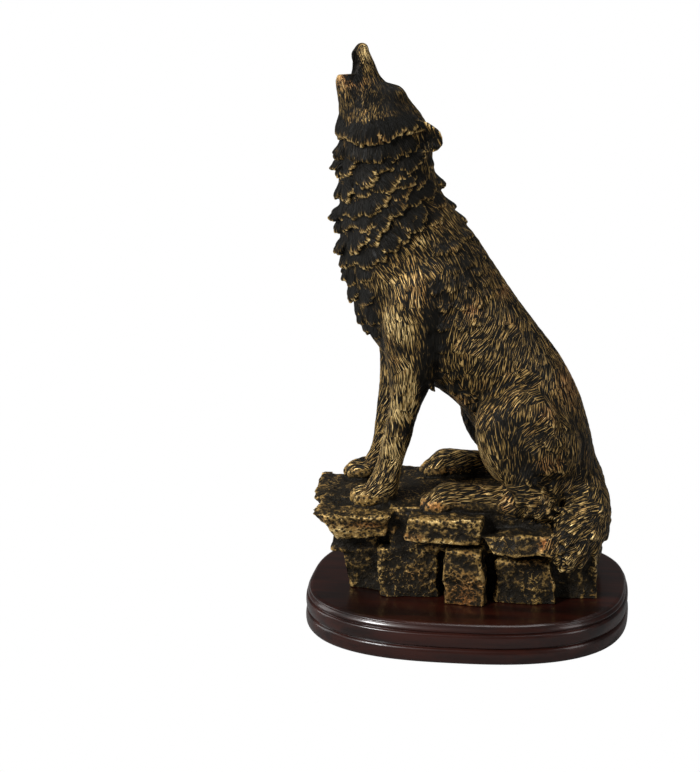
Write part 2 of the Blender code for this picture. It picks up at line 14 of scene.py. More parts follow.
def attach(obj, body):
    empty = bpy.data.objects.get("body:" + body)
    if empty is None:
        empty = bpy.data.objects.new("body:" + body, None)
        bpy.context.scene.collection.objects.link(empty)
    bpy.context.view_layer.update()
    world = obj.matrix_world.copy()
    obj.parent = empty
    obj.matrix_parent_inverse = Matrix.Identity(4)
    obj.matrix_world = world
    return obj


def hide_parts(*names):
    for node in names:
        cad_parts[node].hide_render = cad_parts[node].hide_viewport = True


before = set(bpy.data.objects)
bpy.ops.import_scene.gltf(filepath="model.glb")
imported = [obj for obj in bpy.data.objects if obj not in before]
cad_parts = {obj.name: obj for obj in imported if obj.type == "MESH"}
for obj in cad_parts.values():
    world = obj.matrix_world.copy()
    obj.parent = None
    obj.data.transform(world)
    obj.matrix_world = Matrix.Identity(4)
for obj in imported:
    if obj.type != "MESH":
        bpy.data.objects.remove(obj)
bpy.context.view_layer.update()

scene = bpy.context.scene


# Camera
# Its place was fitted to the printed height and width and to the plinth's oval.
TARGET = Vector((0, 0, 0.130))
CAMERA_DISTANCE = 0.80
CAMERA_AZIMUTH = math.radians(6.4)
CAMERA_ELEVATION = math.radians(15.3)
SENSOR = 36.0
LENS = 83.1
SHIFT_X = -0.1525
SHIFT_Y = -0.0552

to_camera = Vector((
    math.sin(CAMERA_AZIMUTH) * math.cos(CAMERA_ELEVATION),
    -math.cos(CAMERA_AZIMUTH) * math.cos(CAMERA_ELEVATION),
    math.sin(CAMERA_ELEVATION),
))


def added(name, data):
    made = bpy.data.objects.new(name, data)
    scene.collection.objects.link(made)
    return made


camera_data = bpy.data.cameras.new("camera")
camera_data.lens = LENS
camera_data.sensor_width = SENSOR
camera_data.shift_x = SHIFT_X
camera_data.shift_y = SHIFT_Y
camera = added("camera", camera_data)
camera.location = TARGET + to_camera * CAMERA_DISTANCE
camera.rotation_euler = (-to_camera).to_track_quat("-Z", "Y").to_euler()
scene.camera = camera


# Light and floor
# A light tent: soft panels on both sides and above, on a white ground.
scene.view_settings.view_transform = "Standard"


def panel(name, place, size, power):
    light = bpy.data.lights.new(name, "AREA")
    light.shape = "RECTANGLE"
    light.size, light.size_y = size
    light.energy = power
    lamp = added(name, light)
    lamp.location = place
    lamp.rotation_euler = (TARGET - Vector(place)).to_track_quat("-Z", "Y").to_euler()


panel("key_panel", (-0.75, -0.80, 0.80), (0.30, 0.30), 17.0)
panel("right_panel", (0.95, -0.55, 0.55), (0.35, 0.8), 3.2)
panel("left_panel", (-1.0, 0.1, 0.45), (0.35, 0.8), 3.0)
panel("top_panel", (0.1, 0.25, 1.15), (0.6, 0.6), 6.0)

# The surround is white to the eye and gives little light
SURROUND_SEEN = 1.0
SURROUND_LIGHT = 0.09
world = bpy.data.worlds.new("white_surround")
world.use_nodes = True
scene.world = world
nodes, links = world.node_tree.nodes, world.node_tree.links
surround = nodes["Background"]
surround.inputs["Color"].default_value = (1, 1, 1, 1)
ray = nodes.new("ShaderNodeLightPath")
strength = nodes.new("ShaderNodeMix")
strength.data_type = "FLOAT"
strength.inputs["A"].default_value = SURROUND_LIGHT
strength.inputs["B"].default_value = SURROUND_SEEN
links.new(ray.outputs["Is Camera Ray"], strength.inputs["Factor"])
links.new(strength.outputs["Result"], surround.inputs["Strength"])


def mesh_of(shell, name):
    data = bpy.data.meshes.new(name)
    shell.to_mesh(data)
    shell.free()
    return data


FLOOR_SIZE = 6.0
floor_mesh = bmesh.new()
bmesh.ops.create_grid(floor_mesh, x_segments=1, y_segments=1, size=FLOOR_SIZE / 2)
floor_data = mesh_of(floor_mesh, "floor")
floor = added("floor", floor_data)

# The ground is white to the eye, and grey in what it throws back on the figurine
GROUND_GREY = (0.3, 0.3, 0.3, 1)
paper = bpy.data.materials.new("white_ground")
paper.use_nodes = True
nodes, links = paper.node_tree.nodes, paper.node_tree.links
nodes.remove(nodes["Principled BSDF"])
seen_white = nodes.new("ShaderNodeEmission")
seen_white.inputs["Color"].default_value = (1, 1, 1, 1)
matt = nodes.new("ShaderNodeBsdfDiffuse")
matt.inputs["Color"].default_value = GROUND_GREY
ray = nodes.new("ShaderNodeLightPath")
choose = nodes.new("ShaderNodeMixShader")
links.new(ray.outputs["Is Camera Ray"], choose.inputs["Fac"])
links.new(matt.outputs["BSDF"], choose.inputs[1])
links.new(seen_white.outputs["Emission"], choose.inputs[2])
links.new(choose.outputs["Shader"], nodes["Material Output"].inputs["Surface"])
floor_data.materials.append(paper)


# Clay forms of the casting
# One cold-cast resin casting, first blocked out in millimetres as a sculptor does: lofted bodies and limbs,
# rounded masses and stones. The wolf is drawn above the rock's top, and the rock above the plinth.
MM = 0.001
PLINTH_HEIGHT = 17.7
GLUE_LINE = 0.3
ROCK_HEIGHT = 41.0
CASTING_BOTTOM = PLINTH_HEIGHT + GLUE_LINE
ROCK_TOP = CASTING_BOTTOM + ROCK_HEIGHT
WOLF_HEIGHT = 204.5
WOLF_DRAWN = 204.75
WOLF_SCALE = WOLF_HEIGHT / WOLF_DRAWN
LOFT_SIDES = 36
LOFT_STEPS = 6
MASS_SIDES = 24
MASS_ROWS = 14
NEAR_SIDE = -1
FAR_SIDE = 1

# The torso and neck, from the rump up to the throat: back x, back z, belly x, belly z, half width
TORSO = [
    (63, 0, 50, -3, 10), (61.2, 10, 37, -2, 20), (57, 20.5, 25, 5, 25), (54.4, 34.5, 14, 17, 26),
    (49.8, 49.5, 4, 34, 24), (40.8, 66.5, -3, 44.2, 22), (29.8, 81, -11, 50.7, 23),
    (19, 95, -21, 56, 25), (10.2, 108, -34.5, 64, 26), (2.8, 119, -43.8, 76, 25),
    (-3.5, 127.5, -51, 93, 23), (-9.5, 135, -54.5, 112, 21), (-13.4, 142, -56.2, 130, 19.5),
    (-15.3, 149.5, -56, 147, 18), (-17, 157, -54, 160, 16.5),
]

# The head and upper jaw, from the neck up to the nose: throat x, throat z, crown x, crown z, half width
HEAD_TURN = math.radians(26)
HEAD_PIVOT = Vector((-38, 0, 0))
HEAD_SWING = Matrix.Rotation(HEAD_TURN, 4, "Z")
TURNED_HEAD = Matrix.Translation(HEAD_PIVOT) @ HEAD_SWING @ Matrix.Translation(-HEAD_PIVOT)
HEAD = [
    (-54, 156, -16.5, 150, 17), (-55.4, 163, -16, 161, 17.5), (-55.8, 170, -19, 170, 16.5),
    (-56.2, 177, -24, 177.5, 13.5), (-55.8, 183, -28.8, 183.2, 11), (-54.3, 187.5, -35.4, 187.2, 8.4),
    (-53.4, 192, -38.8, 191, 6.8), (-52.4, 196.5, -40.9, 196, 5.8), (-50.6, 200.5, -43, 200.5, 4.6),
    (-48, 203.6, -45.2, 204, 2.6),
]
LOWER_JAW = [
    (-55.6, 174, -46, 176, 8.5), (-56.6, 181, -48, 182, 7.4), (-57.6, 187, -52, 186.6, 5.4),
    (-57.9, 190, -54.6, 189.4, 3.8), (-57.7, 192, -55.8, 191.6, 2),
]
MOUTH_HOLLOWS = [
    ((-51.0, 0, 194.6), (5.6, 5.6, 7.4)),
    ((-52.4, 0, 189.8), (4.4, 5.0, 4.0)),
]
NOSE = ((-46.2, 0, 202.7), (2.6, 3.2, 2.2))
BROW = ((-34.6, 6.4, 182.4), (4.6, 3.8, 3.8))
CHEEK = ((-42.0, 9.5, 171.0), (10.5, 8.0, 9.5))

EAR_ROOT = Vector((-26.0, 13.8, 166.2))
EAR_LENGTH = 11.8
EAR_WIDTH = 12.4
EAR_CUP = 4.2
EAR_WALL = 1.8
EAR_GRID = 8
EAR_ROUNDNESS = 2.6
EAR_TIP_CURL = 0.6
EAR_LAID_BACK = Vector((0.80, 0.30, -0.35))
EAR_UPRIGHT = Vector((0.35, 0.0, 0.94))

# The legs in side view: front x, front z, back x, back z, side y, half width
FORELEG = [
    (-30, 104, -2, 92, 15, 11), (-35.5, 88, -7, 72, 17, 11.5), (-36.5, 72, -13, 60, 17, 10),
    (-36, 58, -16.5, 53, 16.5, 8.2), (-36.5, 47, -19.5, 46, 16, 7), (-37.5, 38, -22.5, 37, 15.5, 6.2),
    (-38.7, 29, -24, 30, 15.5, 6.4), (-39.7, 21, -27.5, 20, 15.5, 5.8),
    (-41.5, 14.5, -29, 12, 16.2, 6.2), (-44.2, 9.2, -30.5, 4, 17.2, 6.6),
    (-45.5, 3.6, -32, -2, 17.6, 6.4),
]
SHANK = [
    (20, 58, 42, 44, 20, 12), (8.5, 50, 36, 30, 24, 12), (7, 38, 33, 22, 27, 10),
    (13, 25, 37, 14, 29, 8), (22, 13, 42, 8, 29, 6.5), (30, 4, 41, 1, 28, 6),
]
HIND_FOOT = [
    (43, 9.5, 42, -1, 26, 4.5), (38, 12, 37, -1.5, 25.5, 6), (20, 11.8, 20, -1.5, 24.5, 5.6),
    (2, 12.3, 2, -1.5, 23.5, 6.2), (-8, 12.3, -8, -1.5, 23.5, 7), (-13, 9.3, -13, -1.5, 23.5, 6.6),
]
FAR_FORELEG_STEP = -6.2
FAR_TOES_STEP = -8.8
FAR_THIGH_STEP = -11.5
FAR_FOOT_STEP = -6.5

THIGH = ((26, 21, 34), (19.5, 14, 24.5))
SHOULDER = ((-18, 17, 92), (17, 12, 24))
HIP = ((37, 16, 28), (15, 13, 20))
THIGH_TILT = -0.25
SHOULDER_TILT = 0.35

# Toes: x behind the foremost one, side offset, toe radius
TOES = [(3.0, -5.9, 2.4), (0.6, -2.1, 2.6), (0.0, 2.0, 2.6), (2.6, 5.8, 2.4)]
TOE_LENGTH = 6.3
TOE_HEIGHT = 3.6
TOE_RISE = 1.5
TOE_TILT = -0.3
FORE_TOE_X = -46.0
HIND_TOE_X = -13.0

# The tail lies round the near side and hangs over the ledge: x, y, z, radius
TAIL = [
    (52, 8, 11, 6), (54, -3, 7, 8), (55, -13, 4, 9.5), (55, -21, 0, 10.5),
    (53.5, -27.5, -5, 10.5), (50.5, -32.5, -10, 8.5), (47, -35.5, -15, 5.5), (44, -37, -19, 2),
]

# Stones of the rock: x from and to, y from and to, z from and to above the plinth, undercut of the bottom
STONES = [
    (-48, 54, -20, 24, -4, 34, 0), (-53.5, -37, -20, 2, -4, 20.5, 0), (-36, -10, -27, 0, -4, 23, 0),
    (-7, 12, -35.5, -5, -4, 27, 0), (15, 42, -28.5, 0, -4, 20.5, 0), (43, 59, -19, 6, -4, 24, 0),
    (-59.5, -37, -24, 2, 18, 34, 0), (-65, -31, -34, -8, 32.5, 41, 5), (-71, -24, -13, 20, 34, 41.6, 4),
    (-24, 11, -37, -4, 29, 41.5, 0), (11, 47, -40, -10, 26.5, 35.5, 2), (-32, 56, -27, 33, 22, 42, 0),
    (44, 65.5, -20, 20, 20, 37, 6), (50, 60, -4, 28, 8, 24, 0), (-55, -33, 5, 29, -4, 25, 0),
    (-31, -6, 8, 34, -4, 27, 0), (-3, 24, 8, 31, -4, 23, 0), (27, 56, 6, 33, -4, 26, 0),
    (-60, -18, 5, 36, 27, 40, 3), (-16, 28, 8, 38, 26, 38, 2), (24, 60, 4, 36, 25, 40, 2),
]
STONE_SEED = 5
STONE_SKEW = 2.2
STONE_SKEW_UP = 0.35
STONE_CUTS = 7
STONE_ROUGHNESS = 1.7
STONE_GRAIN = 9.0


def between(stations, row):
    """The station at a fractional row, on a Catmull-Rom curve through the rows."""
    last = len(stations) - 1
    i = min(int(row), last - 1)
    t = row - i
    p0, p1, p2, p3 = (stations[min(max(k, 0), last)] for k in (i - 1, i, i + 1, i + 2))
    return [
        0.5 * (2 * b + (c - a) * t + (2 * a - 5 * b + 4 * c - d) * t**2 + (3 * b - a - 3 * c + d) * t**3)
        for a, b, c, d in zip(p0, p1, p2, p3)
    ]


def ring_point(station, angle, side=0.0):
    """A point of a side-view station: angle 0 is its first profile point, pi its second one."""
    x1, z1, x2, z2, half = station
    x = (x1 + x2) / 2 + (x1 - x2) / 2 * math.cos(angle)
    z = (z1 + z2) / 2 + (z1 - z2) / 2 * math.cos(angle)
    return Vector((x, side + half * math.sin(angle), z))


def skin_rings(mesh, rings):
    """Closes a row of rings of points into one body, with a flat face at each end."""
    rows = [[mesh.verts.new(point) for point in ring] for ring in rings]
    count = len(rows[0])
    for row, following in zip(rows, rows[1:]):
        for k in range(count):
            j = (k + 1) % count
            mesh.faces.new((row[k], row[j], following[j], following[k]))
    mesh.faces.new(rows[0][::-1])
    mesh.faces.new(rows[-1])


def loft(mesh, stations, side=0.0):
    """A body through side-view stations, as wide to each side as its half width."""
    steps = (len(stations) - 1) * LOFT_STEPS
    rings = []
    for step in range(steps + 1):
        station = between(stations, step / LOFT_STEPS)
        rings.append([ring_point(station, math.tau * k / LOFT_SIDES, side) for k in range(LOFT_SIDES)])
    skin_rings(mesh, rings)


def limb(mesh, stations, side, step_x):
    """A leg from stations that also give how far out it stands."""
    rows = (len(stations) - 1) * LOFT_STEPS
    rings = []
    for row in range(rows + 1):
        *profile, out, half = between(stations, row / LOFT_STEPS)
        station = (profile[0] + step_x, profile[1], profile[2] + step_x, profile[3], half)
        rings.append([ring_point(station, math.tau * k / LOFT_SIDES, side * out) for k in range(LOFT_SIDES)])
    skin_rings(mesh, rings)


def tube_point(path, row, angle):
    """A point on a round body, angle 0 being on its upper side."""
    *centre, radius = between(path, row)
    ahead = Vector(between(path, min(row + 0.05, len(path) - 1))[:3])
    behind = Vector(between(path, max(row - 0.05, 0))[:3])
    along = (ahead - behind).normalized()
    side = along.cross((0, 0, 1)).normalized()
    top = side.cross(along)
    return Vector(centre) + (top * math.cos(angle) + side * math.sin(angle)) * radius


def tube(mesh, path):
    """A round body along points that each have a radius."""
    rows = (len(path) - 1) * LOFT_STEPS
    turns = [math.tau * k / LOFT_SIDES for k in range(LOFT_SIDES)]
    rings = [[tube_point(path, row / LOFT_STEPS, angle) for angle in turns] for row in range(rows + 1)]
    skin_rings(mesh, rings)


def mass(mesh, centre, radii, tilt=0.0):
    """A rounded lump of clay, turned by tilt in side view."""
    place = Matrix.Translation(centre) @ Matrix.Rotation(tilt, 4, "Y") @ Matrix.Diagonal((*radii, 1))
    bmesh.ops.create_uvsphere(mesh, u_segments=MASS_SIDES, v_segments=MASS_ROWS, radius=1, matrix=place)


def pair(centre, radii, side, step_x=0.0):
    return (centre[0] + step_x, side * centre[1], centre[2]), radii


def ear(mesh, side):
    """A rounded, cupped ear laid back along the neck, its hollow facing out and forwards."""
    grid = EAR_GRID
    back = Vector((EAR_LAID_BACK.x, EAR_LAID_BACK.y * side, EAR_LAID_BACK.z)).normalized()
    up = EAR_UPRIGHT.normalized()
    out = up.cross(back).normalized() * side
    faces = []
    root = Vector((EAR_ROOT.x, EAR_ROOT.y * side, EAR_ROOT.z))
    for layer in (0, 1):
        rows = []
        for i in range(grid + 1):
            u = i / grid
            half = EAR_WIDTH / 2 * math.sqrt(max(1 - u**EAR_ROUNDNESS, 0.02))
            row = []
            for j in range(grid + 1):
                v = 2 * j / grid - 1
                dish = EAR_CUP * (v * v + EAR_TIP_CURL * u * u - EAR_TIP_CURL)
                point = root + back * (EAR_LENGTH * u) + up * (half * v)
                point += out * (dish + layer * -EAR_WALL)
                row.append(mesh.verts.new(point))
            rows.append(row)
        faces.append(rows)
    inner, outer = faces
    for i in range(grid):
        for j in range(grid):
            mesh.faces.new((inner[i][j], inner[i + 1][j], inner[i + 1][j + 1], inner[i][j + 1]))
            mesh.faces.new((outer[i][j], outer[i][j + 1], outer[i + 1][j + 1], outer[i + 1][j]))
    for i in range(grid):
        mesh.faces.new((inner[i][0], outer[i][0], outer[i + 1][0], inner[i + 1][0]))
        mesh.faces.new((inner[i][grid], inner[i + 1][grid], outer[i + 1][grid], outer[i][grid]))
        mesh.faces.new((inner[0][i], inner[0][i + 1], outer[0][i + 1], outer[0][i]))
        mesh.faces.new((inner[grid][i], outer[grid][i], outer[grid][i + 1], inner[grid][i + 1]))


def head_clay():
    """The head as drawn, looking straight ahead."""
    clay = bmesh.new()
    loft(clay, HEAD)
    loft(clay, LOWER_JAW)
    mass(clay, *NOSE)
    for side in (NEAR_SIDE, FAR_SIDE):
        mass(clay, *pair(*BROW, side))
        mass(clay, *pair(*CHEEK, side))
        ear(clay, side)
    return clay


def paw(mesh, toe_x, foot_y, side):
    """Four toes at the end of a foot, the middle two foremost."""
    for behind, offset, radius in TOES:
        centre = (toe_x + behind, side * (foot_y - offset), TOE_HEIGHT)
        mass(mesh, centre, (TOE_LENGTH, radius, radius + TOE_RISE), tilt=TOE_TILT)


def stone(mesh, bounds, seed):
    """A rough block: a cube with its corners shifted, then weathered with noise."""
    chance = random.Random(seed)
    x0, x1, y0, y1, z0, z1, undercut = bounds
    corners = {}
    for i in (0, 1):
        for j in (0, 1):
            for k in (0, 1):
                inset = 0 if k else undercut
                x = (x0 + inset, x1 - inset)[i]
                y = (y0 + inset, y1 - inset)[j]
                corner = Vector((x, y, (z0, z1)[k]))
                shift = Vector(chance.uniform(-STONE_SKEW, STONE_SKEW) for _ in range(3))
                shift.z *= STONE_SKEW_UP
                corners[i, j, k] = corner + shift
    block = bmesh.new()
    bmesh.ops.create_cube(block, size=1)
    bmesh.ops.subdivide_edges(block, edges=block.edges, cuts=STONE_CUTS, use_grid_fill=True)
    for vert in block.verts:
        u, v, w = (c + 0.5 for c in vert.co)
        place = Vector((0, 0, 0))
        for (i, j, k), corner in corners.items():
            share = (u if i else 1 - u) * (v if j else 1 - v) * (w if k else 1 - w)
            place += corner * share
        shift = noise.noise_vector(place / STONE_GRAIN + Vector((seed, 0, 0)))
        vert.co = place + shift * STONE_ROUGHNESS
    data = mesh_of(block, "stone_clay")
    mesh.from_mesh(data)
    bpy.data.meshes.remove(data)


# Fur of the wolf
# The coat is carved in the casting. Every lock is a bundle of strands that leave the skin together, and the
# mane's clumps stand off in ragged edges.

# Clumps of the mane, near side: tip x, y, z, degrees below the horizontal, length, width, lift
CLUMPS = [
    (-55, -4, 165.2, 130, 12, 8, 3.7), (-53.4, -8.2, 164, 118, 13, 8, 3.2),
    (-48.4, -13.7, 163.4, 108, 13, 9, 3.2), (-42.8, -16.4, 165.6, 98, 13, 9, 3),
    (-37.9, -17.7, 166.6, 92, 13, 9, 3.2), (-33.4, -16.3, 167, 86, 13, 9, 3.2),
    (-28.7, -14.3, 167, 80, 12, 9, 3), (-24.1, -11, 167.3, 70, 12, 9, 2.8),
    (-20.5, -6, 167.5, 60, 11, 8, 2.4), (-54.4, -3.9, 154.7, 140, 12, 8, 4.9),
    (-54.2, -4.7, 154.6, 112, 12, 8, 3), (-48.2, -12.7, 155.3, 96, 12, 9, 3),
    (-42.3, -16, 155.1, 86, 12, 10, 3), (-34.9, -16.6, 157.1, 78, 12, 10, 3),
    (-29, -15.5, 157.8, 70, 12, 10, 2.8), (-23.7, -11.6, 158.3, 60, 12, 9, 2.6),
    (-19.6, -7.2, 158.6, 45, 11, 8, 2.4), (-55.2, -4.2, 149.4, 142, 11, 6, 6.2),
    (-55.6, -3.6, 145.7, 118, 12, 9, 3.2), (-48.9, -13.2, 149.1, 52, 12, 9, 3),
    (-43.4, -16.9, 144.7, 80, 11, 8, 2.6), (-38.2, -18, 147, 42, 13, 11, 3.4),
    (-32.9, -17.4, 151, 62, 12, 10, 3.2), (-22, -12.7, 151.3, 62, 13, 11, 2.8),
    (-15.8, -1.7, 150.6, 40, 11, 9, 1.4), (-26.1, -15.8, 148.5, 70, 11, 9, 2.4),
    (-55.9, -3.4, 136.1, 120, 12, 9, 3.4), (-48.7, -14.4, 139.4, 38, 13, 10, 3.2),
    (-43, -17.6, 139.4, 80, 12, 9, 2.4), (-30.5, -18.1, 142.8, 50, 13, 9, 3.4),
    (-24, -15.7, 143.8, 66, 12, 10, 2.8), (-19.7, -12.6, 144.1, 60, 11, 9, 2.4),
    (-15, -9.5, 138.8, 28, 13, 11, 3), (-13.1, 4.3, 139.8, 30, 12, 9, 3.8),
    (-35.2, -18.7, 141.9, 90, 10, 8, 2.2), (-55.4, -4.7, 127.5, 158, 11, 7, 6.7),
    (-53.4, -9.4, 129.1, 104, 12, 9, 3), (-47.1, -15.9, 130.2, 92, 12, 9, 2.8),
    (-39.7, -19, 131.8, 78, 13, 10, 3.2), (-33.3, -19.3, 136.6, 46, 13, 11, 3.6),
    (-26.5, -18.9, 133.3, 48, 13, 11, 3.4), (-21.1, -16.1, 135.9, 50, 12, 9, 2.4),
    (-17.4, -15.3, 132, 20, 12, 9, 3), (-10.1, -5.6, 134.1, 30, 12, 9, 2),
    (-6.8, 5.2, 130.3, 34, 12, 9, 2.7), (-25.9, -17.5, 139, 60, 11, 9, 2.4),
    (-55.1, -4.1, 121.9, 140, 12, 8, 4.1), (-49.4, -14, 124, 62, 13, 10, 3.2),
    (-41.1, -19, 126.2, 66, 12, 9, 2.8), (-31.1, -20.4, 127.8, 34, 13, 10, 3.2),
    (-22.5, -19.1, 127.7, 52, 12, 9, 2.6), (-18.2, -18, 126.7, 52, 14, 11, 3.6),
    (-35.8, -20.2, 127.6, 60, 11, 8, 2.2), (-10.7, -12.6, 128.1, 44, 11, 9, 1.6),
    (-2, 4.6, 124.4, 36, 12, 9, 2.3), (-53.9, -5, 112.8, 140, 12, 8, 6.1),
    (-54, -5.4, 115.2, 110, 12, 9, 2.8), (-46.7, -15.7, 114.9, 72, 13, 10, 3.2),
    (-40.3, -19.5, 120.2, 40, 13, 10, 3.2), (-35.5, -20.7, 121, 26, 12, 9, 3),
    (-23.3, -20.6, 122.4, 46, 13, 9, 3), (-28.1, -21.8, 118.2, 46, 13, 10, 3.2),
    (-33.6, -21.7, 113.1, 46, 13, 9, 3), (-53, -5.1, 106.4, 128, 12, 8, 4.1),
    (-49, -12.6, 107.9, 90, 12, 10, 2.8), (-41.8, -18.7, 108.5, 80, 12, 9, 2.4),
    (-52, -5.3, 100.8, 112, 11, 8, 4.5), (-50.1, -8.9, 99.1, 92, 12, 10, 2.6),
    (-43.3, -17.3, 102.3, 80, 11, 8, 2.2), (-49.6, -5.6, 91.3, 108, 11, 8, 3.9),
    (-47.7, -10.3, 92.6, 70, 12, 9, 3), (-40.8, -17.2, 91.7, 58, 12, 9, 2.8),
    (-47.2, -5.1, 84.7, 100, 11, 8, 2.6), (-45.5, -5.9, 81.2, 112, 11, 8, 3.5),
    (-43.3, -6.2, 77.1, 100, 12, 9, 2.8), (-39.2, -16, 82.9, 84, 11, 8, 2.4),
    (-38.5, -12.7, 75.6, 90, 11, 7, 2.4),
]
# Long curved locks of the haunch and tail: tip x, y, z, degrees below the horizontal, length, width, lift
TAIL_LOCKS = [
    (36, -33, 15, 175, 12, 5, 1.2), (29, -33, 11, 155, 12, 5, 1.3), (26, -33, 7, 145, 10, 5, 1.2),
    (34, -35, 9, 165, 12, 5, 1.3), (32, -35, 4, 145, 13, 5, 1.5), (29, -35, 1, 130, 10, 5, 1.3),
    (42, -35, 11, 170, 14, 5, 1.3), (39, -37, 4, 145, 14, 5, 1.6), (35, -37, -2, 130, 12, 5, 1.5),
    (49, -35, 9, 162, 14, 5, 1.4), (46, -37, 4, 150, 14, 5, 1.5), (43, -39, -2, 138, 14, 5, 1.8),
    (38, -40, -8, 118, 13, 5, 2.2), (55, -34, 5, 152, 14, 5, 1.5), (51, -38, -1, 142, 14, 5, 1.7),
    (47, -41, -7, 132, 13, 5, 1.9), (43, -41, -12, 126, 12, 5, 1.8), (60, -29, 1, 140, 13, 5, 1.5),
    (57, -35, -5, 132, 13, 5, 1.8), (53, -39, -11, 126, 13, 5, 1.9), (49, -40, -16, 124, 12, 5, 2),
    (62, -26, -7, 118, 12, 5, 1.5), (59, -33, -12, 118, 12, 5, 1.7), (55, -37, -18, 118, 12, 5, 1.9),
    (50, -38, -23, 126, 12, 5, 1.9), (46, -37, -28, 135, 11, 5, 1.7), (41, -34, 20, 60, 9, 6, 1.3),
    (36, -35, 21, 95, 9, 6, 1.3), (32, -35, 19, 130, 10, 6, 1.3), (47, -30, 20, 75, 9, 6, 1.2),
    (38, -33, 34, 130, 9, 6, 1.1), (33, -31, 37, 150, 9, 6, 1.1), (44, -28, 33, 80, 9, 6, 1.1),
    (48, -25, 40, 70, 9, 6, 1.1), (41, -27, 42, 100, 9, 6, 1),
]
# Clumps down the middle of the throat and chest, by turns to each side, given in the same way
CHEST_ROWS = 18
CHEST_ROW_STEP = 4.5
CHEST_TOP = 163
CHEST_HALF_GAP = 4.6
CHEST_CLUMPS = [
    (-62, CHEST_HALF_GAP * (1 if row % 2 else -1), CHEST_TOP - CHEST_ROW_STEP * row, 92, 13, 9, 1.5)
    for row in range(CHEST_ROWS)
]
# Small shaggy locks behind the shoulder, along the belly, on the nape and on the haunch, near side
SHAGGY_CLUMPS = [
    (-12, -27, 100, 115, 9, 5, 1.3), (-4, -27, 101, 110, 9, 5, 1.3), (4, -24, 103, 100, 9, 5, 1.3),
    (10, -18, 108, 75, 9, 5, 1.3), (-8, -27, 92, 118, 9, 5, 1.3), (0, -27, 93, 115, 9, 5, 1.4),
    (8, -25, 95, 110, 9, 5, 1.2), (15, -20, 99, 90, 9, 5, 1.1), (-9, -25, 83, 120, 9, 5, 1.2),
    (-1, -25, 84, 120, 9, 5, 1.3), (7, -25, 86, 120, 8, 5, 1), (-9, -23, 73, 110, 9, 5, 1.1),
    (-2, -23, 74, 118, 9, 5, 1.1), (-8, -21, 64, 100, 9, 5, 1), (-3, -21, 60, 95, 9, 5, 1.2),
    (-13, -20, 54, 95, 7, 4, 1.8), (-10, -21, 51.5, 95, 7, 4, 2.2), (-7, -21, 49.5, 95, 7, 4, 2.2),
    (-4, -20, 47.5, 95, 7, 4, 2.2), (-1, -20, 45.5, 98, 7, 4, 2.2), (2, -19, 43.5, 100, 7, 4, 1.8),
    (4, -6, 121, 45, 10, 6, 1.6), (10, -8, 114, 48, 10, 6, 1.4), (16, -6, 107, 50, 9, 6, 1.2),
    (0, -18, 118, 60, 10, 6, 1.4), (6, -18, 111, 62, 10, 6, 1.3), (-8, -22, 116, 80, 10, 6, 1.3),
    (-2, -24, 109, 90, 9, 6, 1.2), (21, -5, 101, 52, 9, 6, 1.1), (25, -5, 93, 55, 9, 6, 1),
    (13, -3, 113, 50, 9, 5, 1.3), (8, -3, 120, 48, 9, 5, 1.4), (14, -16, 104, 70, 9, 6, 1),
]
# Clumps farther out than this are on both sides, and above this height they turn with the head
MIRRORED_FROM = 6.0
HEAD_CLUMPS_FROM = 158.0
CLUMP_STRAND = 1.9
LOCK_STRAND = 1.4
LOCK_LIFT = 1.7

